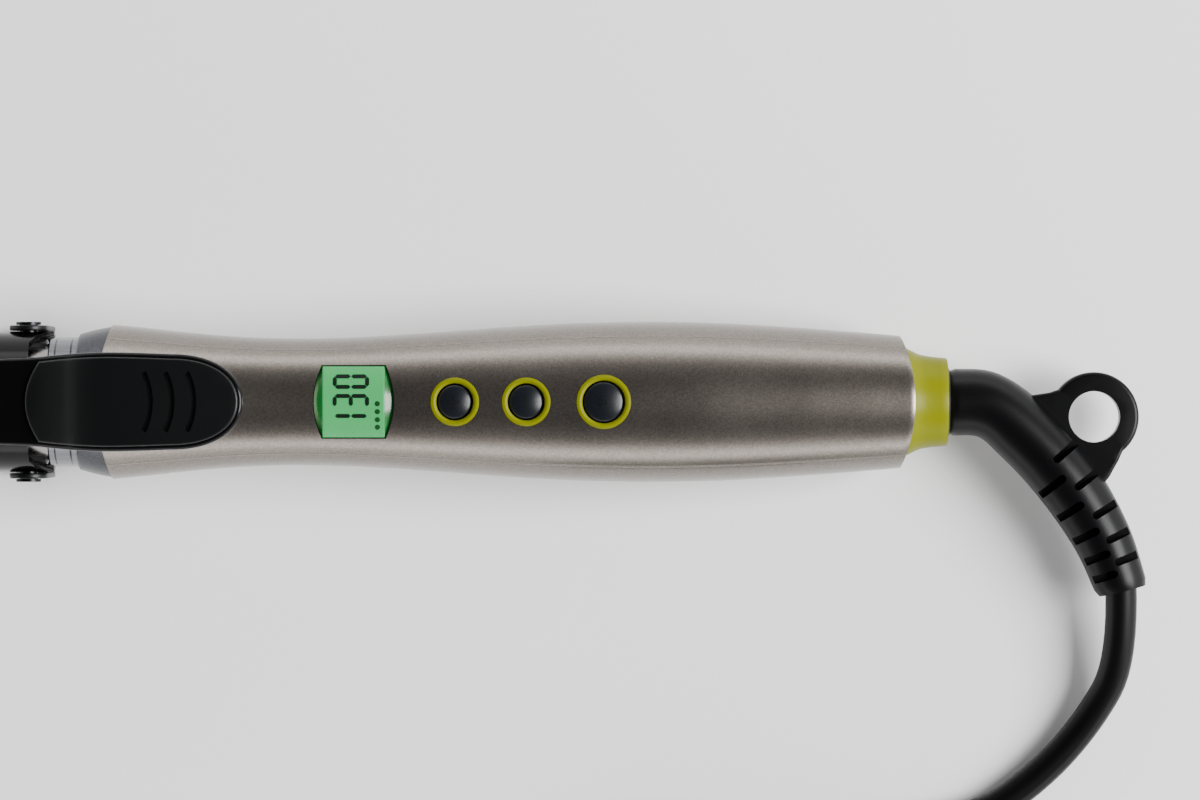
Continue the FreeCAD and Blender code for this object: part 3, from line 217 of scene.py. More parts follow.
class Shape:
    """A mesh in the making, in millimetres, shaped by bmesh operators."""

    SHARP = math.radians(38.0)

    def __init__(self) -> None:
        """Start with nothing."""
        self.mesh = bmesh.new()

    @classmethod
    def lathe(cls, profile: Sequence[Point2], sweep: float = 360.0, steps: int = 96,
              axis: Axis = Axis.X, closed: bool = True) -> "Shape":
        """Turn a profile round an axis.

        Args:
            profile: (along the axis, radius) points.
            sweep: Angle turned through in degrees, centred on the ridge.
            steps: Number of faces round the sweep.
            axis: X or Z.
            closed: True for the outline of a solid, False for a thin line.

        Returns:
            The turned shape.
        """
        shape = cls()
        points = [Vector((a, 0.0, r)) if axis is Axis.X else Vector((r, 0.0, a))
                  for a, r in profile]
        verts = [shape.mesh.verts.new(point) for point in points]
        pairs = list(zip(verts, verts[1:]))
        if closed:
            pairs.append((verts[-1], verts[0]))
        edges = [shape.mesh.edges.new(pair) for pair in pairs]
        full = sweep >= 360.0
        if not full:
            shape.turn(Axis.X, -sweep / 2)
        bmesh.ops.spin(shape.mesh, geom=verts + edges, cent=(0.0, 0.0, 0.0), axis=axis.value,
                       angle=math.radians(sweep), steps=steps, use_merge=full,
                       use_normal_flip=False, use_duplicate=False)
        return shape.merged()

    @classmethod
    def plate(cls, outline: Sequence[Point2], low: float, high: float,
              axis: Axis = Axis.Z) -> "Shape":
        """Extrude a flat outline.

        Args:
            outline: Corners, as (x, y) for Z or (x, z) for Y.
            low: Where the plate starts along the axis.
            high: Where it ends.
            axis: Z or Y.

        Returns:
            The plate.
        """
        shape = cls()
        if axis is Axis.Z:
            corners = [(a, b, low) for a, b in outline]
        else:
            corners = [(a, low, b) for a, b in outline]
        face = shape.mesh.faces.new([shape.mesh.verts.new(corner) for corner in corners])
        grown = bmesh.ops.extrude_face_region(shape.mesh, geom=[face], use_keep_orig=True)
        moved = [item for item in grown["geom"] if isinstance(item, bmesh.types.BMVert)]
        bmesh.ops.translate(shape.mesh, verts=moved, vec=Vector(axis.value) * (high - low))
        return shape.merged()

    @classmethod
    def bar(cls, centre: Point2, radius: float, low: float, high: float,
            axis: Axis = Axis.Z, steps: int = 64) -> "Shape":
        """A round bar along Z or Y about a centre in the other two axes."""
        outline = [(centre[0] + radius * math.cos(2 * math.pi * i / steps),
                    centre[1] + radius * math.sin(2 * math.pi * i / steps))
                   for i in range(steps)]
        return cls.plate(outline, low, high, axis)

    @classmethod
    def capsule(cls, start: Point2, end: Point2, width: float, low: float,
                high: float) -> "Shape":
        """An upright plate with round ends between two points."""
        heading = math.atan2(end[1] - start[1], end[0] - start[0])
        outline = []
        for centre, turn in ((end, -90.0), (start, 90.0)):
            for step in range(9):
                angle = heading + math.radians(turn + 22.5 * step)
                outline.append((centre[0] + width / 2 * math.cos(angle),
                                centre[1] + width / 2 * math.sin(angle)))
        return cls.plate(outline, low, high)

    @classmethod
    def grid(cls, columns: int, rows: int, rule: Callable[[float, float], Point3]) -> "Shape":
        """Lay a square grid on a surface.

        Args:
            columns: Faces along the first direction.
            rows: Faces along the second.
            rule: Place of a point from its two shares, each from 0 to 1.

        Returns:
            The laid grid.
        """
        shape = cls()
        bmesh.ops.create_grid(shape.mesh, x_segments=columns, y_segments=rows, size=0.5)
        return shape.moved_by(lambda place: rule(place.x + 0.5, place.y + 0.5)).merged()

    @classmethod
    def loft(cls, rings: Sequence[Tuple[Matrix, float]], segments: int = 48) -> "Shape":
        """Bridge circles into a tube with closed ends.

        Args:
            rings: The place and radius of each circle.
            segments: Corners of a circle.

        Returns:
            The tube.
        """
        shape = cls()
        loops = []
        for matrix, radius in rings:
            made = bmesh.ops.create_circle(shape.mesh, cap_ends=False, segments=segments,
                                           radius=radius, matrix=matrix)
            verts = set(made["verts"])
            loops.append([edge for edge in shape.mesh.edges
                          if edge.verts[0] in verts and edge.verts[1] in verts])
        for first, second in zip(loops, loops[1:]):
            bmesh.ops.bridge_loops(shape.mesh, edges=first + second)
        bmesh.ops.holes_fill(shape.mesh, edges=loops[0] + loops[-1], sides=segments)
        return shape.merged()

    def merged(self) -> "Shape":
        """Merge doubles and point the faces outwards."""
        bmesh.ops.remove_doubles(self.mesh, verts=self.mesh.verts, dist=1e-4)
        bmesh.ops.recalc_face_normals(self.mesh, faces=self.mesh.faces)
        return self

    def moved_by(self, rule: Callable[[Vector], Any]) -> "Shape":
        """Move every vertex to where a rule puts it."""
        for vert in self.mesh.verts:
            vert.co = Vector(rule(vert.co.copy()))
        return self

    def turn(self, axis: Axis, degrees: float, centre: Point3 = (0.0, 0.0, 0.0)) -> "Shape":
        """Turn the shape about an axis through a centre."""
        bmesh.ops.rotate(self.mesh, verts=self.mesh.verts, cent=centre,
                         matrix=Matrix.Rotation(math.radians(degrees), 3, Vector(axis.value)))
        return self

    def shift(self, along: float, across: float, height: float) -> "Shape":
        """Move the shape."""
        bmesh.ops.translate(self.mesh, verts=self.mesh.verts, vec=(along, across, height))
        return self

    def sliced(self, places: Sequence[float], axis: Axis = Axis.X) -> "Shape":
        """Add a row of edges at each place along an axis."""
        for place in places:
            geom = list(self.mesh.verts) + list(self.mesh.edges) + list(self.mesh.faces)
            bmesh.ops.bisect_plane(self.mesh, geom=geom, dist=1e-5,
                                   plane_co=Vector(axis.value) * place, plane_no=axis.value)
        return self

    def outward(self, away: Callable[[Vector], Vector]) -> "Shape":
        """Flip each face of a surface that points against a direction read at its middle."""
        for face in self.mesh.faces:
            if face.normal.dot(away(face.calc_center_median())) < 0:
                face.normal_flip()
        return self

    def walled(self, thickness: float) -> "Shape":
        """Give a surface whose faces point outwards a wall on its inside."""
        bmesh.ops.solidify(self.mesh, geom=list(self.mesh.faces), thickness=thickness)
        return self.merged()

    def eased(self, width: float, segments: int = 2, angle: float = 40.0,
              test: Callable[[Vector], bool] = lambda middle: True) -> "Shape":
        """Round the sharp edges.

        Args:
            width: Width of the rounding.
            segments: Faces across it.
            angle: Only edges sharper than this, in degrees.
            test: Only edges whose middle passes.

        Returns:
            The shape itself.
        """
        edges = [edge for edge in self.mesh.edges
                 if len(edge.link_faces) == 2
                 and edge.calc_face_angle(0.0) > math.radians(angle)
                 and test((edge.verts[0].co + edge.verts[1].co) / 2)]
        bmesh.ops.bevel(self.mesh, geom=edges, offset=width, offset_type="OFFSET",
                        affect="EDGES", segments=segments, profile=0.5, material=-1,
                        clamp_overlap=True)
        return self

    def combined(self, other: "Shape", operation: str) -> "Shape":
        """Join with, or cut by, another closed shape.

        Args:
            other: The other shape, which is used up.
            operation: UNION or DIFFERENCE.

        Returns:
            The shape itself.
        """
        body, tool = self._loose("combine_body"), other._loose("combine_tool")
        modifier = body.modifiers.new("combine", "BOOLEAN")
        modifier.operation = operation
        modifier.solver = "EXACT"
        modifier.object = tool
        bpy.context.view_layer.update()
        ready = body.evaluated_get(bpy.context.evaluated_depsgraph_get()).to_mesh()
        self.mesh = bmesh.new()
        self.mesh.from_mesh(ready)
        for item in (body, tool):
            bpy.data.objects.remove(item)
        return self

    def cut(self, *tools: "Shape") -> "Shape":
        """Cut closed shapes away, one after another."""
        for tool in tools:
            self.combined(tool, "DIFFERENCE")
        return self

    def fused(self, *others: "Shape") -> "Shape":
        """Fuse closed shapes on, one after another."""
        for other in others:
            self.combined(other, "UNION")
        return self

    def add(self, *others: "Shape") -> "Shape":
        """Put other shapes into the same mesh without fusing them."""
        for other in others:
            loose = bpy.data.meshes.new("added")
            other.mesh.to_mesh(loose)
            self.mesh.from_mesh(loose)
            bpy.data.meshes.remove(loose)
        return self

    def _loose(self, name: str) -> bpy.types.Object:
        """The shape as an unplaced object, for a boolean."""
        mesh = bpy.data.meshes.new(name)
        self.mesh.to_mesh(mesh)
        self.mesh.free()
        item = bpy.data.objects.new(name, mesh)
        bpy.context.scene.collection.objects.link(item)
        return item

    def piece(self, name: str, placing: Matrix, finish: "Finish", body: str,
              nodes: Sequence[str] = (), sharp: float = SHARP,
              reach: Sequence[Point3] = ()) -> bpy.types.Object:
        """Make the finished object.

        Args:
            name: Name of the piece.
            placing: From the shape's millimetres to the row frame.
            finish: What it is made of.
            body: The body that it moves with.
            nodes: The frame's nodes that it stands for.
            sharp: Edges sharper than this, in radians, stay sharp.
            reach: Any places given leave the piece where it stands instead of following its body.

        Returns:
            The object.
        """
        self.mesh.transform(placing)
        mesh = bpy.data.meshes.new(name)
        self.mesh.to_mesh(mesh)
        self.mesh.free()
        mesh.shade_smooth()
        mesh.set_sharp_from_angle(angle=sharp)
        item = bpy.data.objects.new(name, mesh)
        bpy.context.scene.collection.objects.link(item)
        mesh.materials.append(finish.material())
        if nodes:
            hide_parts(*nodes)
        if reach:
            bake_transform(item)
        else:
            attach(item, body)
        LOG.info("%s: %d faces on %s", name, len(mesh.polygons), body)
        return item


# ---------------------------------------------------------------------------
# Finishes
# ---------------------------------------------------------------------------
class Slot(Enum):
    """Material slots of the record."""

    HANDLE_GREY = "handle_grey"
    CAP_GREY = "cap_grey"
    LIME = "lime"
    BLACK_GLOSS = "black_gloss"
    BLACK_SATIN = "black_satin"
    BUTTON_GREY = "button_grey"
    BRIGHT_METAL = "bright_metal"
    BARREL_METAL = "barrel_metal"
    TONG_METAL = "tong_metal"
    STEEL = "steel"
    CORE_METAL = "core_metal"
    CERAMIC = "ceramic"
    SENSOR_DARK = "sensor_dark"
    BOARD_GREEN = "board_green"
    DISPLAY_GREEN = "display_green"
    BRASS = "brass"
    HUB_BLACK = "hub_black"
    CORD_BLACK = "cord_black"


class Reading:
    """A number from a node, with Python's arithmetic."""

    def __init__(self, graph: "Graph", socket: bpy.types.NodeSocket) -> None:
        """Wrap a socket of a graph."""
        self.graph = graph
        self.socket = socket

    def _math(self, operation: str, first: Any, second: Any) -> "Reading":
        """A Math node on two values."""
        return self.graph.read("ShaderNodeMath", {"operation": operation},
                               {0: first, 1: second})

    def __add__(self, other: Any) -> "Reading":
        """Sum."""
        return self._math("ADD", self, other)

    __radd__ = __add__

    def __sub__(self, other: Any) -> "Reading":
        """Difference."""
        return self._math("SUBTRACT", self, other)

    def __rsub__(self, other: Any) -> "Reading":
        """Difference from a number."""
        return self._math("SUBTRACT", other, self)

    def __mul__(self, other: Any) -> "Reading":
        """Product."""
        return self._math("MULTIPLY", self, other)

    __rmul__ = __mul__


class Graph:
    """The nodes of one material or world."""

    def __init__(self, tree: bpy.types.NodeTree) -> None:
        """Empty the tree."""
        self.tree = tree
        tree.nodes.clear()

    def node(self, kind: str, settings: Optional[Dict[str, Any]] = None,
             inputs: Optional[Dict[Union[str, int], Any]] = None) -> bpy.types.Node:
        """Add a node.

        Args:
            kind: The node's type.
            settings: Its settings, and a ramp's stops as (place, colour) pairs.
            inputs: Values or links of its sockets.

        Returns:
            The node.
        """
        made = self.tree.nodes.new(kind)
        for name, value in (settings or {}).items():
            if name == "stops":
                self._set_stops(made.color_ramp, value)
            else:
                setattr(made, name, value)
        for key, value in (inputs or {}).items():
            if isinstance(value, Reading):
                self.tree.links.new(value.socket, made.inputs[key])
            else:
                made.inputs[key].default_value = value
        return made

    def read(self, kind: str, settings: Optional[Dict[str, Any]] = None,
             inputs: Optional[Dict[Union[str, int], Any]] = None,
             output: Union[str, int] = 0) -> Reading:
        """Add a node and read one of its outputs."""
        return Reading(self, self.node(kind, settings, inputs).outputs[output])

    def place(self, stretch: Point3 = (1.0, 1.0, 1.0)) -> Reading:
        """Object coordinates, stretched, with the iron's lean taken out."""
        coordinates = self.read("ShaderNodeTexCoord", output="Object")
        return self.read("ShaderNodeMapping", {"vector_type": "TEXTURE"}, {
            "Vector": coordinates,
            "Rotation": (0.0, IRON.tilt, 0.0),
            "Scale": stretch,
        })

    def noise(self, place: Reading, size: float, detail: float = 4.0) -> Reading:
        """Noise with lumps of about a size in millimetres."""
        return self.read("ShaderNodeTexNoise", {"noise_dimensions": "3D"},
                         {"Vector": place, "Scale": 1.0 / (size * MM), "Detail": detail,
                          "Roughness": 0.55})

    def flakes(self, place: Reading, size: float) -> Reading:
        """A random number for each flake of a size in millimetres."""
        cells = self.read("ShaderNodeTexVoronoi", {"feature": "F1"},
                          {"Vector": place, "Scale": 1.0 / (size * MM)}, "Color")
        return self.read("ShaderNodeSeparateColor", inputs={"Color": cells})

    def mix(self, share: Any, first: Any, second: Any) -> Reading:
        """Mix two colours."""
        made = self.tree.nodes.new("ShaderNodeMix")
        made.data_type = "RGBA"
        for place, value in ((0, share), (6, first), (7, second)):
            if isinstance(value, Reading):
                self.tree.links.new(value.socket, made.inputs[place])
            elif place == 0:
                made.inputs[place].default_value = value
            else:
                made.inputs[place].default_value = (*value, 1.0)
        return Reading(self, made.outputs[2])

    @staticmethod
    def _set_stops(ramp: bpy.types.ColorRamp, stops: Sequence[Tuple[float, Colour]]) -> None:
        """Give a ramp its stops."""
        ramp.elements[0].position, ramp.elements[-1].position = stops[0][0], stops[-1][0]
        for place, _ in stops[1:-1]:
            ramp.elements.new(place)
        for element, (_, colour) in zip(ramp.elements, stops):
            element.color = (*colour, 1.0)


def tint(red: int, green: int, blue: int) -> Colour:
    """A colour from its everyday 0 to 255 values."""
    return tuple(((value / 255 + 0.055) / 1.055) ** 2.4 if value > 10 else value / 3294.6
                 for value in (red, green, blue))


@dataclass(frozen=True)
class Finish:
    """One moulded, painted or metal finish."""

    slot: Slot
    colour: Colour
    shade: Colour
    roughness: float
    metallic: float = 0.0
    coat: float = 0.0
    grain: float = 0.25
    relief: float = 0.01
    stretch: Point3 = (1.0, 1.0, 1.0)
    mottle: float = 18.0
    roughness_spread: float = 0.12
    flake: float = 0.0
    specular: float = 0.5
    glow: float = 0.0
    label: str = ""

    @property
    def name(self) -> str:
        """Name of the material."""
        return f"finish_{self.slot.value}{self.label}"

    def material(self) -> bpy.types.Material:
        """The material, made once."""
        if self.name in bpy.data.materials:
            return bpy.data.materials[self.name]
        made = bpy.data.materials.new(self.name)
        made.use_nodes = True
        graph = Graph(made.node_tree)
        place = graph.place(self.stretch)
        grain = graph.noise(place, self.grain)
        mottle = graph.noise(place, self.mottle, 2.0)
        share = self._share(graph, place, grain, mottle)
        base = graph.mix(share, self.shade, self.colour)
        shader = graph.node("ShaderNodeBsdfPrincipled", inputs={
            "Base Color": base,
            "Roughness": self.roughness + (mottle + grain - 1.0) * self.roughness_spread,
            "Metallic": self.metallic,
            "Specular IOR Level": self.specular,
            "Coat Weight": self.coat,
            "Coat Roughness": 0.06,
            "Normal": graph.read("ShaderNodeBump", inputs={
                "Strength": 1.0, "Distance": self.relief * MM, "Height": grain}),
        })
        if self.glow:
            graph.tree.links.new(base.socket, shader.inputs["Emission Color"])
            shader.inputs["Emission Strength"].default_value = self.glow
        output = graph.node("ShaderNodeOutputMaterial")
        graph.tree.links.new(shader.outputs[0], output.inputs["Surface"])
        return made

    def _share(self, graph: Graph, place: Reading, grain: Reading, mottle: Reading) -> Reading:
        """How far each point is from the shade to the full colour."""
        share = grain * 0.6 + mottle * 0.4
        if self.flake:
            return share * 0.5 + graph.flakes(place, self.flake) * 0.5
        return share


def metal(slot: Slot, bright: Colour, dark: Colour, roughness: float, **extra: Any) -> Finish:
    """A bare metal finish."""
    return Finish(slot, bright, dark, roughness, metallic=1.0, **extra)


# Noise stretched along the axis: brushed grain on the bright metal, barrel and tong, and painted
# reflection streaks on the ferrule.
STREAKED_ALONG: Point3 = (14.0, 1.0, 1.0)

SHELL = Finish(Slot.HANDLE_GREY, tint(138, 131, 123), tint(98, 92, 86), 0.3, metallic=1.0,
               grain=0.22, relief=0.006, flake=0.26, roughness_spread=0.08, coat=0.15)
CAP = Finish(Slot.CAP_GREY, tint(80, 81, 85), tint(44, 45, 49), 0.34, metallic=0.9,
             grain=0.2, relief=0.01, flake=0.25)
LIME = Finish(Slot.LIME, tint(110, 113, 0), tint(94, 97, 0), 0.34, specular=0.1, relief=0.004,
              roughness_spread=0.05)
GLOSS = Finish(Slot.BLACK_GLOSS, tint(6, 6, 7), tint(4, 4, 4), 0.16, coat=0.04, specular=0.12,
               relief=0.003, roughness_spread=0.06)
SATIN = Finish(Slot.BLACK_SATIN, tint(8, 9, 10), tint(4, 5, 5), 0.36, specular=0.25, grain=0.16,
               relief=0.012)
BUTTON = Finish(Slot.BUTTON_GREY, tint(16, 19, 24), tint(9, 11, 14), 0.3, specular=0.3, grain=0.18,
                relief=0.008)
ICON = Finish(Slot.BUTTON_GREY, tint(8, 9, 11), tint(5, 6, 7), 0.3, label="_icon")
BRIGHT = metal(Slot.BRIGHT_METAL, tint(226, 227, 229), tint(168, 170, 174), 0.2, grain=0.12,
               relief=0.004, stretch=STREAKED_ALONG)
# Ferrule: the near-black shade, streaked along the axis, is a painted reflection of dark
# surroundings on the bright metal.
FERRULE = metal(Slot.BRIGHT_METAL, tint(160, 161, 166), tint(24, 25, 28), 0.24, grain=0.5,
                relief=0.01, stretch=STREAKED_ALONG, label="_ferrule")
BARREL = metal(Slot.BARREL_METAL, tint(168, 165, 162), tint(128, 125, 122), 0.24, grain=0.3,
               relief=0.004, stretch=STREAKED_ALONG)
TONG = metal(Slot.TONG_METAL, tint(204, 203, 201), tint(160, 158, 156), 0.22, grain=0.2,
             relief=0.003, stretch=STREAKED_ALONG)
STEEL = metal(Slot.STEEL, tint(190, 190, 192), tint(136, 137, 140), 0.32, grain=0.2,
              relief=0.006)
DARK_STEEL = metal(Slot.STEEL, tint(44, 44, 47), tint(24, 24, 26), 0.3, label="_dark")
CORE = metal(Slot.CORE_METAL, tint(176, 176, 178), tint(136, 136, 138), 0.5, grain=0.5,
             relief=0.02)
CERAMIC = Finish(Slot.CERAMIC, tint(232, 229, 220), tint(208, 203, 192), 0.55, relief=0.01)
SENSOR = Finish(Slot.SENSOR_DARK, tint(70, 48, 36), tint(48, 34, 28), 0.4, coat=0.3)
BOARD = Finish(Slot.BOARD_GREEN, tint(24, 104, 58), tint(14, 76, 42), 0.34, coat=0.5,
               grain=0.6, relief=0.01)
FACE = Finish(Slot.DISPLAY_GREEN, tint(50, 138, 78), tint(40, 124, 66), 0.3, coat=0.2,
              relief=0.001, glow=0.72)
FACET = Finish(Slot.DISPLAY_GREEN, tint(10, 104, 36), tint(4, 70, 20), 0.26, coat=0.1,
               relief=0.001, glow=0.1, label="_facet")
SEGMENT = Finish(Slot.DISPLAY_GREEN, tint(4, 20, 8), tint(2, 12, 5), 0.35, label="_segment")
DOT = Finish(Slot.DISPLAY_GREEN, tint(6, 62, 20), tint(4, 44, 14), 0.35, label="_dot")
MODULE = Finish(Slot.DISPLAY_GREEN, tint(70, 90, 74), tint(50, 66, 54), 0.5, label="_module")
BRASS = metal(Slot.BRASS, tint(214, 178, 98), tint(170, 134, 62), 0.3, relief=0.005)
HUB = Finish(Slot.HUB_BLACK, tint(30, 30, 32), tint(20, 20, 22), 0.48, relief=0.012)
RUBBER = Finish(Slot.CORD_BLACK, tint(6, 6, 7), tint(3, 3, 4), 0.34, specular=0.14, grain=0.3,
                relief=0.015, roughness_spread=0.1)

NODE_FINISHES: Dict[str, Finish] = {
    "barrel_tube": BARREL,
    "board_components": HUB,
    "board_screws": STEEL,
    "brush_holder": HUB,
    "circuit_board": BOARD,
    "clip_rivets": STEEL,
    "contact_brushes": BRASS,
    "contact_rings": BRASS,
    "display_module": MODULE,
    "heater_core_lower": CORE,
    "heater_core_upper": CORE,
    "heater_leads": CERAMIC,
    "heating_element": CERAMIC,
    "hinge_bracket": STEEL,
    "housing_screws": STEEL,
    "insulating_disc": CERAMIC,
    "mains_leads": SENSOR,
    "pivot_pins": DARK_STEEL,
    "plug_pins": BRIGHT,
    "retaining_ring": STEEL,
    "swivel_hub": HUB,
    "tact_switches": HUB,
    "temperature_sensor": SENSOR,
    "thermal_fuse": SENSOR,
}


# ---------------------------------------------------------------------------
# The iron
# ---------------------------------------------------------------------------
def from_axis(middle: Vector) -> Vector:
    """Direction from the iron's axis to a place."""
    return Vector((0.0, middle.y, middle.z))


def upwards(_middle: Vector) -> Vector:
    """Direction out of the controls."""
    return Vector(Axis.Z.value)


def conformed(shape: Shape, form: HandleForm, rise: float) -> Shape:
    """Lay a flat plate on the handle, raised by a distance."""
    return shape.moved_by(
        lambda place: (place.x, place.y, place.z + form.height(place.x, place.y) + rise))


@dataclass
class Handle:
    """Upper and lower shell, front cap and rear collar."""

    form: HandleForm
    wall: float = 2.2
    edge_ease: float = 0.1
    skin_columns: int = 150
    waist: float = 50.0
    panel_angle: float = math.radians(54.0)
    seam_gap: float = 0.04
    cap_gap: float = 0.22
    button_holes: Sequence[Point2] = ((80.9, 5.25), (96.1, 5.25), (112.6, 5.85))
    screws: Sequence[float] = (27.0, 143.0)
    screw_pocket: float = 2.55
    sleeve_radius: float = 3.4
    sleeve_top: float = -9.0
    sleeve_inset: float = 0.6
    cap_front: float = 0.5
    cap_lip: Sequence[Point2] = ((0.0, 12.65), (0.0, 14.2), (0.18, 14.52))
    cap_returns: Sequence[float] = (1.0, 4.0)
    collar_profile: Sequence[Point2] = (
        (168.0, 11.7), (176.6, 11.7), (177.6, 11.55), (178.8, 10.94), (179.7, 10.5),
        (180.6, 10.14), (181.8, 9.9), (183.0, 9.72), (184.6, 9.56), (185.9, 9.46),
        (186.3, 9.3), (186.4, 9.0), (186.4, 7.4), (168.0, 7.4),
    )

    def _skin(self, start: float, sweep: float, rows: int) -> Shape:
        """A wall of the handle between two angles from the ridge."""
        form = self.form
        gap = self.seam_gap / 2 / form.radius(self.waist)

        def rule(column: float, row: float) -> Point3:
            """Place on the handle's outside."""
            angle = start + gap + (sweep - 2 * gap) * row
            first, last = form.front_seam(angle), form.rear_edge(angle)
            along = first + (last - first) * column
            radius = form.radius(along)
            return along, radius * math.sin(angle), radius * math.cos(angle)

        skin = Shape.grid(self.skin_columns, rows, rule).outward(from_axis)
        return skin.walled(self.wall).eased(self.edge_ease, 2, 55.0)

    def upper(self) -> Shape:
        """Upper shell with its openings."""
        shell = self._skin(-self.panel_angle, 2 * self.panel_angle, 60)
        holes = [Shape.bar((along, 0.0), radius, 5.0, FAR, steps=96)
                 for along, radius in self.button_holes]
        return shell.cut(Display(self.form).opening(), *holes)

    def lower(self) -> Shape:
        """Lower shell with its screw pockets."""
        shell = self._skin(self.panel_angle, 2 * (math.pi - self.panel_angle), 120)
        return shell.cut(*[Shape.bar((along, 0.0), self.screw_pocket, -FAR, -4.0)
                           for along in self.screws])

    def screw_sleeves(self) -> Shape:
        """Sleeves of the lower shell round its two screws."""
        sleeves = Shape()
        for along in self.screws:
            low, high = -self.form.radius(along) + self.sleeve_inset, self.sleeve_top
            sleeve = Shape.lathe([(low, self.screw_pocket), (low, self.sleeve_radius),
                                  (high, self.sleeve_radius), (high, self.screw_pocket)],
                                 axis=Axis.Z, steps=48)
            sleeves.add(sleeve.shift(along, 0.0, 0.0))
        return sleeves

    def cap(self) -> Shape:
        """Front cap, whose rear edge follows the shells."""
        form, front, steps = self.form, self.cap_front, 14
        skin = [(front + i / steps, 0.0) for i in range(steps + 1)]
        returns = [(front + 1.0, -depth) for depth in self.cap_returns]
        profile = [*self.cap_lip, *skin, *returns]
        rows = len(profile) - 1

        def rule(column: float, row: float) -> Point3:
            """Place on the cap's outside, where a point of the skin gives its share and inset."""
            angle = 2 * math.pi * row
            along, radius = profile[round(column * rows)]
            if along >= front:
                end = form.front_seam(angle) - self.cap_gap
                along = front + (along - front) * (end - front)
                radius += form.cap_contour.at(along)
            return along, radius * math.sin(angle), radius * math.cos(angle)

        return Shape.grid(rows, 144, rule)

    def build(self) -> None:
        """Make the shells, cap and collar."""
        place = IRON.matrix
        self.upper().piece("upper_shell_skin", place, SHELL, "handle", ["handle_upper_shell"])
        self.lower().piece("lower_shell_skin", place, SHELL, "handle", ["handle_lower_shell"])
        self.screw_sleeves().piece("screw_sleeves", place, SHELL, "handle")
        self.cap().piece("front_cap_skin", place, CAP, "handle", ["front_cap"])
        collar = Shape.lathe(self.collar_profile, steps=128)
        collar.piece("collar_skin", place, LIME, "handle", ["rear_collar"])


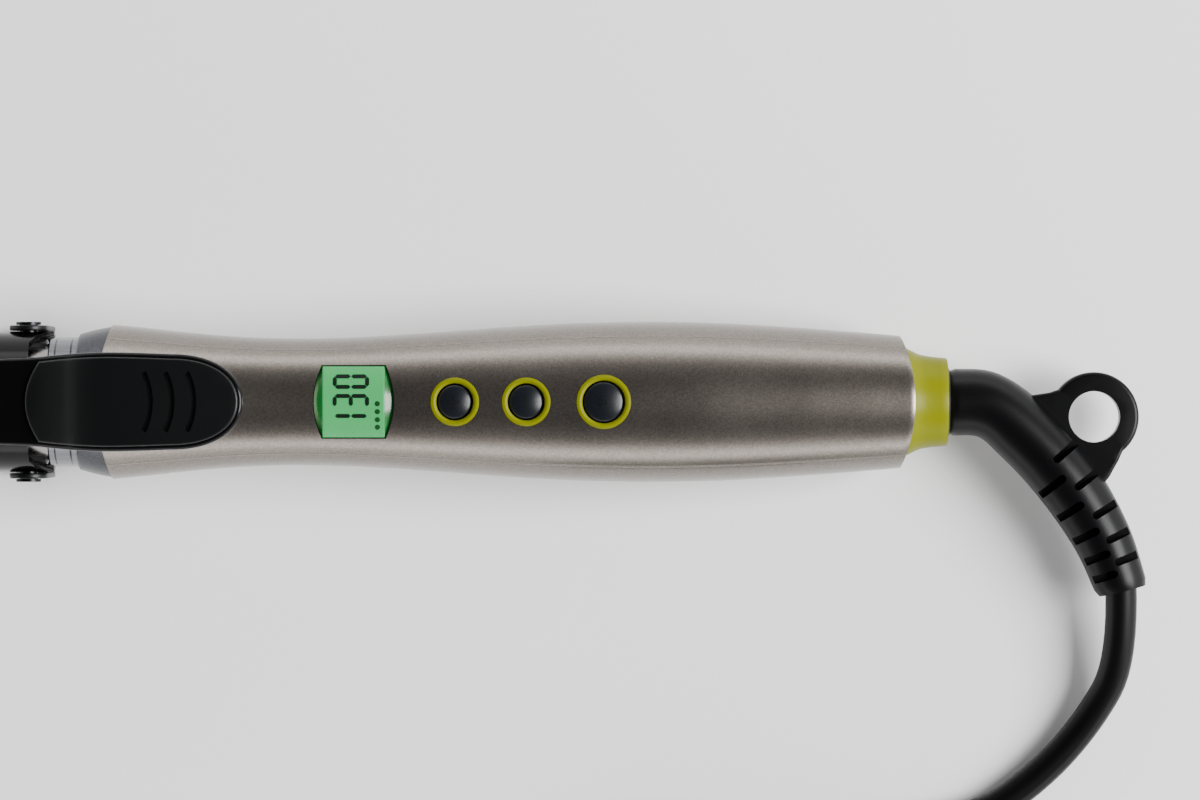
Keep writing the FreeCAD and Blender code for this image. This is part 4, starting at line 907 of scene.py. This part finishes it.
@dataclass
class Display:
    """Window with its bowed green edges and the lit figures under it."""

    form: HandleForm
    centre: float = 59.3
    half_length: float = 6.7
    half_width: float = 7.7
    bow: float = 1.8
    wall: float = 1.0
    sink: float = 0.28
    facet_drop: float = 0.7
    clearance: float = 0.16
    stroke: float = 0.86
    figures: str = "130"
    figure_tops: Sequence[float] = (-2.58, 1.68, 5.87)
    figure_top_x: float = 55.3
    figure_height: float = 6.9
    figure_width: float = 3.1
    dots: Sequence[float] = (-0.4, -2.1, -3.8, -5.4)
    dot_x: float = 64.4
    dot_radius: float = 0.55

    SEGMENTS = {"0": "abcdef", "1": "bc", "3": "abgcd"}

    def reach(self, across: float, grow: float) -> float:
        """Half length of the window at a distance across."""
        share = min(abs(across) / self.half_width, 1.0)
        return self.half_length + self.bow * (1.0 - share**2) + grow

    def opening(self) -> Shape:
        """Cutter for the window's opening in the shell."""
        steps = 16
        width = self.half_width + self.clearance
        across = [width * (1 - 2 * i / steps) for i in range(steps + 1)]
        front = [(self.centre - self.reach(y, self.clearance), y) for y in across]
        rear = [(self.centre + self.reach(y, self.clearance), y) for y in reversed(across)]
        return Shape.plate(front + rear, 4.0, FAR)

    def _panel(self, inner: Callable[[float], float], outer: Callable[[float], float],
               side: float, drop: Callable[[float], float]) -> Shape:
        """A panel between two lines across the window.

        Args:
            inner: Distance of the first line from the centre.
            outer: Distance of the second line.
            side: 1 towards the cord, -1 towards the barrel.
            drop: Depth below the shell at a share from the first line to the second.

        Returns:
            The panel with its thickness.
        """
        def rule(column: float, row: float) -> Point3:
            """Place on the panel."""
            across = self.half_width * (2 * row - 1)
            along = inner(across) + (outer(across) - inner(across)) * column
            x = self.centre + side * along
            return x, across, self.form.height(x, across) - drop(column)

        return Shape.grid(24, 48, rule).outward(upwards).walled(self.wall)

    def face(self) -> Shape:
        """The flat-sided part over the figures, with eased edges."""
        return self._panel(lambda y: -self.half_length, lambda y: self.half_length, 1.0,
                           lambda share: self.sink).eased(0.25, 3, 50.0)

    def facets(self) -> Shape:
        """The two bowed edges, which slope down to the shell's cut."""
        facets = Shape()
        for side in (-1.0, 1.0):
            facets.add(self._panel(lambda y: self.half_length, lambda y: self.reach(y, 0.0),
                                   side, lambda share: self.sink + self.facet_drop * share))
        return facets

    def _bar(self, start: Point2, end: Point2) -> Shape:
        """One bar of a figure with pointed ends."""
        length = math.hypot(end[0] - start[0], end[1] - start[1])
        heading = math.degrees(math.atan2(end[1] - start[1], end[0] - start[0]))
        half, tip = self.stroke / 2, 0.06
        bar = Shape.plate([(tip, 0.0), (tip + half, -half), (length - tip - half, -half),
                           (length - tip, 0.0), (length - tip - half, half), (tip + half, half)],
                          0.0, 0.05)
        return bar.turn(Axis.Z, heading).shift(start[0], start[1], 0.0)

    def segments(self) -> Shape:
        """The figures, which read from the barrel's right."""
        lit = Shape()
        top, half = self.figure_top_x, self.figure_height / 2
        for figure, right in zip(self.figures, self.figure_tops):
            right, left = right - self.stroke / 2, right - self.figure_width + self.stroke / 2
            corner = {
                "a": ((top, left), (top, right)),
                "b": ((top, right), (top + half, right)),
                "c": ((top + half, right), (top + 2 * half, right)),
                "d": ((top + 2 * half, left), (top + 2 * half, right)),
                "e": ((top + half, left), (top + 2 * half, left)),
                "f": ((top, left), (top + half, left)),
                "g": ((top + half, left), (top + half, right)),
            }
            lit.add(*[self._bar(*corner[name]) for name in self.SEGMENTS[figure]])
        lit.sliced([0.75 * i for i in range(-4, 9)], Axis.Y)
        return conformed(lit, self.form, -0.27)

    def level_dots(self) -> Shape:
        """Four dots that show the heat level."""
        dots = Shape()
        for across in self.dots:
            dots.add(Shape.bar((self.dot_x, across), self.dot_radius, 0.0, 0.05, steps=24))
        return conformed(dots, self.form, -0.26)

    def build(self) -> None:
        """Make the window and its figures."""
        place = IRON.matrix
        self.face().piece("display_face", place, FACE, "handle", ["display_window"])
        self.facets().piece("display_edges", place, FACET, "handle")
        self.segments().piece("display_figures", place, SEGMENT, "handle")
        self.level_dots().piece("display_dots", place, DOT, "handle")


class Icon(Enum):
    """What a button's raised sign shows."""

    PLUS = "plus"
    MINUS = "minus"
    POWER = "power"


@dataclass
class Button:
    """One button: lime ring, domed cap and its raised sign."""

    form: HandleForm
    icon: Icon
    along: float
    radius: float
    gap: float = 0.3
    ring_wall: float = 1.3
    dome: float = 0.75
    sign_size: float = 2.2
    sign_width: float = 0.34

    def ring(self) -> Shape:
        """Ring that follows the handle, with a rounded top."""
        inner = self.radius + self.gap
        outer = inner + self.ring_wall
        middle = (inner + outer) / 2
        profile = [(-2.2, inner), (-0.35, inner), (-0.05, inner + 0.22), (0.1, middle - 0.1),
                   (0.1, middle + 0.15), (-0.02, outer - 0.12), (-0.3, outer), (-2.2, outer)]
        ring = Shape.lathe(profile, axis=Axis.Z, steps=96).shift(self.along, 0.0, 0.0)
        return conformed(ring, self.form, 0.12)

    def _cap_top(self, reach: float) -> float:
        """Height of the cap over the handle's ridge at a distance from its middle."""
        return 0.28 - self.dome * (reach / self.radius) ** 2

    def cap(self) -> Shape:
        """Domed cap with its stem."""
        steps = 10
        dome = [(self._cap_top(self.radius * 0.93 * i / steps), self.radius * 0.93 * i / steps)
                for i in range(steps + 1)]
        edge = self._cap_top(self.radius)
        profile = [*dome, (edge - 0.1, self.radius - 0.08), (edge - 0.4, self.radius),
                   (-3.2, self.radius), (-3.2, 0.0)]
        cap = Shape.lathe(profile, axis=Axis.Z, steps=72, closed=False)
        return cap.shift(self.along, 0.0, self.form.radius(self.along))

    def sign(self) -> Shape:
        """Raised sign on the cap."""
        half, width = self.sign_size / 2, self.sign_width
        sign = Shape()
        if self.icon is Icon.POWER:
            ring = Shape.lathe([(0.0, half * 0.8 - width / 2), (0.12, half * 0.8 - width / 2),
                                (0.12, half * 0.8 + width / 2), (0.0, half * 0.8 + width / 2)],
                               axis=Axis.Z, steps=40)
            sign.add(ring.cut(Shape.capsule((-half * 1.4, 0.0), (-0.2, 0.0), 0.9, -1.0, 1.0)))
            sign.add(Shape.capsule((-half * 1.05, 0.0), (-0.15, 0.0), width, 0.0, 0.12))
        else:
            sign.add(Shape.capsule((0.0, -half), (0.0, half), width, 0.0, 0.12))
        if self.icon is Icon.PLUS:
            sign.add(Shape.capsule((-half, 0.0), (half, 0.0), width, 0.0, 0.14))
        ridge = self.form.radius(self.along)
        return sign.moved_by(lambda place: (
            place.x + self.along, place.y,
            place.z + ridge + self._cap_top(math.hypot(place.x, place.y)) - 0.02))

    def build(self) -> None:
        """Make the ring, the cap and the sign."""
        place, name = IRON.matrix, self.icon.value
        body = name + "_button"
        self.ring().piece(name + "_ring_skin", place, LIME, "handle", [name + "_ring"])
        self.cap().piece(name + "_cap", place, BUTTON, body, [body])
        self.sign().piece(name + "_sign", place, ICON, body)


@dataclass
class Barrel:
    """Heated barrel with its cool tip and bright ferrule."""

    radius: float = 12.5
    front: float = -146.0
    tip_front: float = -168.0
    nose: float = 7.0
    nose_inner: float = 5.0
    ribs: Sequence[float] = (-158.0, -155.0, -152.0)
    rib_depth: float = 0.35
    rib_width: float = 1.0
    ferrule_radius: float = 13.9
    bead_depth: float = 0.2

    def tip(self) -> Shape:
        """Cool tip with a rounded nose and a grip ridge."""
        steps = 12
        nose = [(self.tip_front + self.nose * (1 - math.cos(math.pi / 2 * i / steps)),
                 self.nose_inner
                 + (self.radius - self.nose_inner) * math.sin(math.pi / 2 * i / steps))
                for i in range(steps + 1)]
        low = self.radius - self.rib_depth
        ribs = []
        for start in self.ribs:
            end = start + self.rib_width
            ribs += [(start, self.radius), (start + 0.2, low), (end - 0.2, low),
                     (end, self.radius)]
        rear = self.front - 0.12
        profile = [(self.tip_front, 0.0), (self.tip_front, self.nose_inner - 0.4), *nose, *ribs,
                   (self.front - 0.5, self.radius), (rear, self.radius - 0.15),
                   (rear, self.radius - 1.5)]
        return Shape.lathe(profile, closed=False)

    def ferrule(self) -> Shape:
        """Bright ferrule with two fine beads."""
        top, bead = self.ferrule_radius, self.ferrule_radius - self.bead_depth
        inner = self.radius + 0.1
        return Shape.lathe([(-6.2, inner), (-6.2, top - 0.3), (-5.9, top), (-4.9, top),
                            (-4.7, bead), (-4.5, top), (-1.5, top), (-1.3, bead), (-1.1, top),
                            (0.0, top), (0.0, inner)])

    def build(self) -> None:
        """Make the tip and the ferrule."""
        self.tip().piece("tip_skin", IRON.matrix, SATIN, "handle", ["barrel_tip"])
        self.ferrule().piece("ferrule_skin", IRON.matrix, FERRULE, "handle", ["barrel_ferrule"])


@dataclass
class Clip:
    """Saddle, arm, thumb pad and tong."""

    pivot: float = -11.0
    tip: float = 36.4
    arm_line: Contour = Contour(((-17.0, 14.45), (-9.0, 14.95), (-2.0, 17.6), (1.0, 19.3),
                                 (6.0, 20.8), (20.0, 22.75), (36.4, 24.1)))
    half_widths: Contour = Contour(((-17.0, 9.1), (-9.0, 9.4), (-2.0, 10.1), (6.0, 10.5),
                                    (14.0, 10.4), (21.0, 10.15)))
    arm: float = 1.6
    pad: float = 1.3
    rim: float = 1.0
    grooves: Sequence[float] = (26.0, 21.4, 16.8)
    groove_bend: float = 14.0
    saddle_reach: Point2 = (-16.0, 5.5)
    saddle_radius: float = 15.1
    saddle_sweep: float = 212.0
    sheet: float = 1.0
    pin_bore: float = 2.06
    rivet_bore: float = 2.0
    rivet_place: Point2 = (-12.0, 4.2)
    rivet_floor: float = 14.5
    tong_reach: Point2 = (-149.0, -19.0)
    tong_radius: float = 13.85
    tong_sweep: float = 112.0
    tong_step: float = 3.0
    corner_length: float = 12.0
    corner_cut: float = 7.0
    spring_line: Sequence[Point2] = ((14.6, 21.98), (9.4, 21.25), (-2.5, 14.4), (-4.4, 14.4))
    spring_thickness: float = 0.5
    spring_half: float = 4.0
    groove_width: float = 1.2

    def _outline(self, inset: float, start: float, bow: float) -> List[Point2]:
        """Plan of the lever.

        Args:
            inset: Distance inside the arm's own edge.
            start: Where the left end crosses the centre line.
            bow: How far the left end's corners lie towards the cord.

        Returns:
            The outline's corners.
        """
        bend = 21.0
        sides = [start + bow + (bend - start - bow) * i / 12 for i in range(13)]
        upper = [(x, self.half_widths.at(x) - inset) for x in sides]
        half = upper[-1][1]
        steps = 24
        round_end = []
        for i in range(1, 2 * steps):
            angle = math.pi / 2 * (1 - i / steps)
            round_end.append((bend + (self.tip - inset - bend) * math.cos(angle) ** 0.9,
                              half * math.copysign(abs(math.sin(angle)) ** 0.95, angle)))
        lower = [(x, -y) for x, y in reversed(upper)]
        left = [(start + bow * (y / upper[0][1]) ** 2, -y)
                for y in [upper[0][1] * (0.8 - 0.2 * i) for i in range(9)]]
        return upper + round_end + lower + left

    def _bent(self, flat: Shape) -> Shape:
        """Bend a flat layer to the arm's line."""
        places = [self.pivot - 5.0 + 1.5 * i for i in range(34)]
        flat.sliced(places).sliced([-6.0, -3.0, 0.0, 3.0, 6.0], Axis.Y)
        return flat.moved_by(lambda place: (place.x, place.y,
                                            place.z + self.arm_line.at(place.x)))

    def lever_arm(self) -> Shape:
        """Arm with rounded sides."""
        flat = Shape.plate(self._outline(0.0, self.pivot - 5.5, 0.0), 0.0, self.arm + 0.55)
        flat.eased(0.95, 5, 60.0, lambda middle: middle.z > 1.0)
        return self._bent(flat)

    def thumb_pad(self) -> Shape:
        """Satin pad with three bowed grip grooves."""
        flat = Shape.plate(self._outline(self.rim, -10.4, 3.0), self.arm - 0.1,
                           self.arm + self.pad)
        flat.eased(0.5, 4, 60.0, lambda middle: middle.z > self.arm + 0.5)
        for middle in self.grooves:
            flat.cut(self._groove(middle))
        return self._bent(flat)

    def _groove(self, middle: float) -> Shape:
        """Cutter of a bowed groove with round ends."""
        half = self.groove_width / 2
        spread = math.degrees(math.asin(6.2 / self.groove_bend))
        steps = 14
        centre = middle - self.groove_bend
        outline = []
        for radius, order in ((self.groove_bend + half, range(steps + 1)),
                              (self.groove_bend - half, range(steps, -1, -1))):
            for i in order:
                angle = math.radians(spread * (2 * i / steps - 1))
                outline.append((centre + radius * math.cos(angle), radius * math.sin(angle)))
        low = self.arm + self.pad - 0.75
        return Shape.plate(outline, low, FAR)

    def saddle(self) -> Shape:
        """Saddle round the barrel's root with its cut-away rear."""
        ends = [(self.pivot + reach, self.saddle_radius) for reach in self.saddle_reach]
        band = Shape.lathe(ends, sweep=self.saddle_sweep, steps=110, closed=False)
        band.outward(from_axis).walled(self.sheet).eased(0.3, 2, 60.0)
        rear = ends[-1][0]
        clearance = Shape.plate([(rear, 0.0), (rear + 2, 0.0), (rear + 2, FAR),
                                 (self.pivot + 0.8, FAR), (self.pivot + 0.8, 8.0)],
                                -FAR, FAR, Axis.Y)
        bore = Shape.bar((self.pivot, 0.0), self.pin_bore, -FAR, FAR, Axis.Y)
        along, across = self.rivet_place
        rivets = [Shape.bar((self.pivot + along, side * across), self.rivet_bore,
                            self.rivet_floor, FAR) for side in (-1.0, 1.0)]
        return band.cut(clearance, bore, *rivets)

    def tong(self) -> Shape:
        """Curved tong with rounded front corners."""
        front, rear = self.tong_reach
        count = int((rear - front) / self.tong_step)
        stations = [front + self.tong_step * i for i in range(count)] + [rear]
        band = Shape.lathe([(x, self.tong_radius) for x in stations], sweep=self.tong_sweep,
                           steps=64, closed=False).outward(from_axis)
        limit = math.radians(self.tong_sweep / 2)

        def rule(place: Vector) -> Point3:
            """Round the front corners."""
            angle = math.atan2(place.y, place.z)
            share = min(abs(angle) / limit, 1.0)
            near = max(0.0, 1.0 - (place.x - front) / self.corner_length)
            return place.x + self.corner_cut * near * share**4, place.y, place.z

        return band.moved_by(rule).walled(self.sheet).eased(0.25, 2, 60.0)

    def spring(self) -> Shape:
        """Leaf spring between the arm and the ferrule."""
        above = list(self.spring_line)
        below = [(x, z - self.spring_thickness) for x, z in reversed(above)]
        leaf = Shape.plate(above + below, -self.spring_half, self.spring_half, Axis.Y)
        leaf.eased(0.12, 2, 60.0)
        return leaf.sliced([self.spring_line[-1][0] + 0.5 * i for i in range(1, 34)])

    def build(self) -> None:
        """Make the clip's pieces."""
        place = IRON.matrix
        self.saddle().piece("clip_saddle", place, GLOSS, "clip", ["clip_base"])
        self.lever_arm().piece("lever_arm_skin", place, GLOSS, "clip")
        self.thumb_pad().piece("thumb_pad", place, SATIN, "clip", ["clip_lever"])
        self.tong().piece("tong_skin", place, TONG, "clip", ["clip_tong"])
        self.spring().piece("leaf_spring", place, STEEL, "clip", ["clip_spring"],
                            reach=((self.spring_line[0][0], 0.0, 0.0),
                                   (self.spring_line[-1][0], 0.0, 0.0)))


@dataclass
class Stand:
    """Folding stand: two arms and a foot bar."""

    pivot: float = -11.0
    inner: float = 15.35
    outer: float = 16.45
    half_width: float = 4.1
    foot_half: float = 3.5
    foot_height: float = 2.4
    pin_bore: float = 2.06

    def build(self) -> None:
        """Make the stand with eased edges."""
        front, rear = self.pivot - self.foot_half, self.pivot + self.foot_half
        floor_front, floor_rear = self._floor(front), self._floor(rear)
        arc = [(self.pivot + self.half_width * math.cos(math.radians(15.0 * i)),
                self.half_width * math.sin(math.radians(15.0 * i))) for i in range(13)]
        outline = [(front, floor_front), (rear, floor_rear), *arc]
        stand = Shape()
        for low, high in ((self.inner, self.outer), (-self.outer, -self.inner)):
            arm = Shape.plate(outline, low, high, Axis.Y)
            bore = Shape.bar((self.pivot, 0.0), self.pin_bore, -FAR, FAR, Axis.Y)
            stand.add(arm.cut(bore).eased(0.22))
        foot = Shape.plate([(front, floor_front), (rear, floor_rear),
                            (rear, floor_rear + self.foot_height),
                            (front, floor_front + self.foot_height)],
                           -self.inner, self.inner, Axis.Y)
        stand.add(foot.eased(0.25))
        stand.piece("stand_frame", IRON.matrix, SATIN, "stand", ["stand"])

    @staticmethod
    def _floor(along: float) -> float:
        """Height of the bench under a point of the iron's axis, in the iron's frame."""
        lean = IRON.tilt
        return (-IRON.origin.z / MM + along * math.sin(lean)) / math.cos(lean)


@dataclass
class CordGuard:
    """Bent guard with bend-relief slots and the hanging loop."""

    start: float = 186.4
    stations: Sequence[Tuple[float, float, float, float]] = (
        (0.4, 0.0, 0.0, 7.2), (9.0, -0.8, -16.0, 7.2), (17.4, -7.4, -45.0, 7.17),
        (25.8, -17.0, -52.0, 7.0), (33.2, -29.0, -64.0, 6.32), (37.7, -40.6, -76.0, 5.6),
    )
    left_slots: Sequence[float] = (2.9, 3.4, 3.86, 4.28, 4.66)
    right_slots: Sequence[float] = (2.6, 3.15, 3.65, 4.08, 4.48)
    slot_width: float = 1.7
    slot_floor: float = 2.5
    loop_centre: Point2 = (31.5, -3.2)
    loop_outer: float = 9.6
    loop_inner: float = 5.5
    loop_half: float = 2.5
    web: Sequence[Point2] = (
        (-22.0, 1.0), (-15.0, 4.4), (-9.5, 5.2), (-7.4, 5.9), (0.0, 2.0), (6.5, -6.5),
        (5.2, -9.4), (3.2, -13.0), (-1.0, -18.0), (-12.0, -9.0),
    )
    slot_root: float = 0.9
    stalk_steps: int = 40
    end_ease: float = 0.5

    def _at(self, place: float) -> Tuple[Point2, float, float]:
        """Centre, heading and radius at a place counted in stations."""
        along, across, heading, radius = (
            Contour([(i, station[part]) for i, station in enumerate(self.stations)]).at(place)
            for part in range(4))
        return (self.start + along, across), heading, radius

    def stalk(self) -> Shape:
        """Round stalk of the guard with an eased end."""
        rings = []
        count = self.stalk_steps
        last = len(self.stations) - 1
        for step in range(count + 1):
            centre, heading, radius = self._at(last * step / count)
            if step in (0, count):
                radius -= self.end_ease
            turn = Matrix.Rotation(math.radians(heading), 4, "Z") @ Matrix.Rotation(
                math.radians(90.0), 4, "Y")
            rings.append((Matrix.Translation((*centre, 0.0)) @ turn, radius))
        return Shape.loft(rings, 56)

    def _slots(self) -> List[Shape]:
        """Cutters of the slots, above and below the guard's core."""
        cutters = []
        for side, places in ((-1.0, self.left_slots), (1.0, self.right_slots)):
            for place in places:
                (x, y), heading, radius = self._at(place)
                angle = math.radians(heading + 90.0 * side)
                inner, outer = [(x + reach * math.cos(angle), y + reach * math.sin(angle))
                                for reach in (self.slot_root, radius + 3.0)]
                for low, high in ((self.slot_floor, 12.0), (-12.0, -self.slot_floor)):
                    cutters.append(Shape.capsule(inner, outer, self.slot_width, low, high))
        return cutters

    def build(self) -> None:
        """Make the guard in one piece."""
        x, y = self.start + self.loop_centre[0], self.loop_centre[1]
        half = self.loop_half
        loop = Shape.bar((x, y), self.loop_outer, -half, half, steps=96).eased(0.9, 4, 60.0)
        web = Shape.plate([(x + along, y + across) for along, across in self.web], -half, half)
        web.eased(0.6, 3, 60.0, lambda middle: abs(middle.z) > half - 0.1)
        hole = Shape.bar((x, y), self.loop_inner, -FAR, FAR, steps=96)
        guard = self.stalk().fused(loop, web).cut(hole, *self._slots())
        guard.piece("cord_guard_skin", IRON.matrix, RUBBER, "cord_swivel", ["cord_guard"])


@dataclass
class MainsCord:
    """Mains cord from the guard through its coil to the plug, in row millimetres."""

    plan_shift: float
    length: float = 1.78
    route: Sequence[Point3] = (
        (223.2, -38.4, 11.3), (223.8, -55.5, 8.0), (216.4, -69.0, 4.0),
        (205.6, -81.2, 3.4), (190.0, -92.0, 3.4), (140.0, -92.0, 3.4),
    )
    coil_centre: Point2 = (140.0, -140.5)
    radius: float = 3.4
    floor: float = 3.4
    upper: float = 10.2
    outer_turn: float = 48.5
    pitch: float = 6.8
    lower_turns: float = 2.5
    turns: float = 6.5
    fall_turns: float = 0.44
    tuck: float = 2.6
    entry_angle: float = 90.0
    plug_height: float = 6.85
    tail: float = 30.0
    points_per_turn: int = 14

    def _turn_point(self, turn: float) -> Point3:
        """Place of the cord after a number of turns."""
        rise = min(max(turn - self.lower_turns, 0.0), 1.0)
        fall = max(turn - (self.turns - self.fall_turns), 0.0) / self.fall_turns
        if turn <= self.lower_turns:
            radius = self.outer_turn - self.pitch * turn
        else:
            inner = self.outer_turn - self.pitch * self.lower_turns
            beyond = max(turn - self.lower_turns - 1.0, 0.0)
            radius = inner + self.pitch * beyond - self.tuck * math.sin(math.pi * rise)
        height = self.floor + (self.upper - self.floor) * rise
        height -= (self.upper - self.plug_height) * fall
        angle = math.radians(self.entry_angle + 360.0 * turn)
        return (self.coil_centre[0] + radius * math.cos(angle),
                self.coil_centre[1] + radius * math.sin(angle), height)

    def points(self) -> List[Vector]:
        """Control points of the whole cord."""
        count = int(self.turns * self.points_per_turn)
        coil = [self._turn_point(self.turns * i / count) for i in range(1, count + 1)]
        end = coil[-1]
        tail = [(end[0] + self.tail * share, end[1], self.plug_height)
                for share in (0.35, 0.7, 1.0)]
        return [Vector((x + self.plan_shift, y, z)) * MM
                for x, y, z in [*self.route, *coil, *tail]]

    def _line(self) -> bpy.types.Object:
        """The cord's own line as a curve."""
        curve = bpy.data.curves.new("cord_line", "CURVE")
        curve.dimensions = "3D"
        curve.use_fill_caps = True
        curve.bevel_resolution = 6
        spline = curve.splines.new("NURBS")
        points = self.points()
        spline.points.add(len(points) - 1)
        for point, place in zip(spline.points, points):
            point.co = (*place, 1.0)
        spline.order_u = 3
        spline.use_endpoint_u = True
        spline.resolution_u = 8
        line = bpy.data.objects.new("cord_line", curve)
        bpy.context.scene.collection.objects.link(line)
        return line

    def build(self) -> None:
        line = self._line()
        bpy.context.view_layer.update()
        thread = bpy.data.meshes.new_from_object(line)
        line.data.bevel_depth = self.radius * MM
        bpy.context.view_layer.update()
        tube = bpy.data.meshes.new_from_object(
            line.evaluated_get(bpy.context.evaluated_depsgraph_get()))
        bpy.data.objects.remove(line)
        tube.name = "mains_cord"
        tube.materials.clear()
        tube.materials.append(RUBBER.material())
        tube.shade_smooth()
        tube.set_sharp_from_angle(angle=math.radians(60.0))
        cord = bpy.data.objects.new("mains_cord", tube)
        bpy.context.scene.collection.objects.link(cord)
        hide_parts("power_cord", "cord_coil", "cord_tail")
        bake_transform(cord)
        plug = Plug().build()
        2 * self.radius * MM


@dataclass
class Plug:
    """Flat moulded two-pin plug, in row millimetres."""

    neck_half: float = 6.0
    neck_length: float = 6.0
    shoulder: Point2 = (5.0, 1.9)
    face_straight: float = 14.0
    ease: float = 3.0
    rib_start: float = 9.0
    rib_pitch: float = 3.2
    rib_width: float = 1.2
    rib_half: float = 5.0

    def build(self) -> bpy.types.Object:
        """Make the plug's body.

        Returns:
            The body.
        """
        low, high = (corner / MM for corner in map(Vector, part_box("plug_body")))
        middle = (low.y + high.y) / 2
        corner = high.x - self.face_straight
        neck = low.x + self.neck_length
        back, inset = self.shoulder
        right = [(low.x, middle - self.neck_half), (neck, middle - self.neck_half - 0.8),
                 (corner - back, low.y + inset), (corner, low.y), (high.x, low.y)]
        left = [(x, 2 * middle - y) for x, y in reversed(right)]
        body = Shape.plate(right + left, low.z, high.z)
        body.eased(self.ease, 5, 20.0, lambda place: place.x < high.x - 0.5)
        ribs = []
        for i in range(4):
            along = corner - self.rib_start + self.rib_pitch * i
            half = self.rib_half + i
            ribs.append(Shape.capsule((along, middle - half), (along, middle + half),
                                      self.rib_width, high.z - 0.5, high.z + 1.0))
        return body.cut(*ribs).piece("plug_skin", ROW_MM, RUBBER, "handle", ["plug_body"])


# ---------------------------------------------------------------------------
# Bench, light and camera
# ---------------------------------------------------------------------------
@dataclass
class Studio:
    """Pale bench, soft light and the camera."""

    look_x: float = 111.8
    look_y: float = 0.4
    distance: float = 1433.0
    lens: float = 200.0
    bench_colour: Colour = (0.86, 0.86, 0.86)
    horizon: Colour = (3.5, 3.5, 3.5)
    shoulder: Colour = (0.45, 0.45, 0.455)
    zenith: Colour = (0.1, 0.1, 0.104)
    key_power: float = 150.0
    side_power: float = 2.5

    def bench(self) -> None:
        """Pale floor under the iron."""
        shape = Shape()
        bmesh.ops.create_grid(shape.mesh, x_segments=8, y_segments=8, size=2.5)
        mesh = bpy.data.meshes.new("bench")
        shape.mesh.to_mesh(mesh)
        shape.mesh.free()
        bench = bpy.data.objects.new("bench", mesh)
        bpy.context.scene.collection.objects.link(bench)
        made = bpy.data.materials.new("bench")
        made.use_nodes = True
        graph = Graph(made.node_tree)
        shader = graph.node("ShaderNodeBsdfPrincipled", inputs={
            "Base Color": (*self.bench_colour, 1.0), "Roughness": 0.9,
            "Specular IOR Level": 0.1})
        output = graph.node("ShaderNodeOutputMaterial")
        graph.tree.links.new(shader.outputs[0], output.inputs["Surface"])
        mesh.materials.append(made)

    def world(self) -> None:
        """Sky that is dark overhead and bright round the horizon."""
        world = bpy.data.worlds.new("studio")
        bpy.context.scene.world = world
        world.use_nodes = True
        graph = Graph(world.node_tree)
        direction = graph.read("ShaderNodeTexCoord", output="Generated")
        height = graph.read("ShaderNodeSeparateXYZ", inputs={0: direction}, output=2)
        ramp = graph.read("ShaderNodeValToRGB", {"stops": [
            (0.0, self.horizon), (0.16, self.horizon), (0.45, self.shoulder),
            (0.9, self.zenith), (1.0, self.zenith)]}, {0: height})
        background = graph.node("ShaderNodeBackground", inputs={"Color": ramp, "Strength": 1.0})
        output = graph.node("ShaderNodeOutputWorld")
        graph.tree.links.new(background.outputs[0], output.inputs["Surface"])

    def _softbox(self, name: str, place: Point3, size: Point2, power: float) -> None:
        """A soft light that faces the iron's middle."""
        light = bpy.data.lights.new(name, "AREA")
        light.shape = "RECTANGLE"
        light.size, light.size_y = size
        light.energy = power
        lamp = bpy.data.objects.new(name, light)
        bpy.context.scene.collection.objects.link(lamp)
        lamp.location = Vector(place)
        aim = Vector((self.look_x * MM, 0.0, 0.0)) - lamp.location
        lamp.rotation_euler = aim.to_track_quat("-Z", "Y").to_euler()

    def lights(self) -> None:
        """A large key light beyond the cord end and a low softbox on each side."""
        self._softbox("key_light", (1.9, 0.0, 1.5), (1.3, 1.3), self.key_power)
        self._softbox("softbox_far", (0.1, 1.3, 0.22), (2.4, 0.3), self.side_power)
        self._softbox("softbox_near", (0.1, -1.3, 0.22), (2.4, 0.3), self.side_power)

    def camera(self) -> None:
        """Camera square over the controls."""
        data = bpy.data.cameras.new("camera")
        data.lens = self.lens
        data.sensor_width = 36.0
        data.clip_end = 20.0
        item = bpy.data.objects.new("camera", data)
        bpy.context.scene.collection.objects.link(item)
        turn = Matrix.Rotation(IRON.tilt, 4, "Y")
        place = IRON.point(self.look_x, self.look_y, self.distance)
        item.matrix_world = Matrix.Translation(place) @ turn
        bpy.context.scene.camera = item

    def build(self) -> None:
        """Set up the whole studio."""
        self.bench()
        self.world()
        self.lights()
        self.camera()


def dress_nodes() -> None:
    """Give each node that stays its finish."""
    for name, finish in NODE_FINISHES.items():
        item = frame["nodes"][name]
        for slot in item.material_slots:
            slot.material = finish.material()
        LOG.info("%s: %s", name, finish.name)


def main() -> None:
    """Build the scene piece by piece."""
    logging.basicConfig(level=logging.INFO, format="%(message)s")
    form = HandleForm()
    Studio().build()
    MainsCord(plan_shift=IRON.origin.x / MM).build()
    CordGuard().build()
    Handle(form).build()
    Display(form).build()
    Button(form, Icon.PLUS, 80.9, 3.65).build()
    Button(form, Icon.MINUS, 96.1, 3.65).build()
    Button(form, Icon.POWER, 112.6, 4.25).build()
    Barrel().build()
    Clip().build()
    Stand().build()
    dress_nodes()


if __name__ == "__main__":
    main()
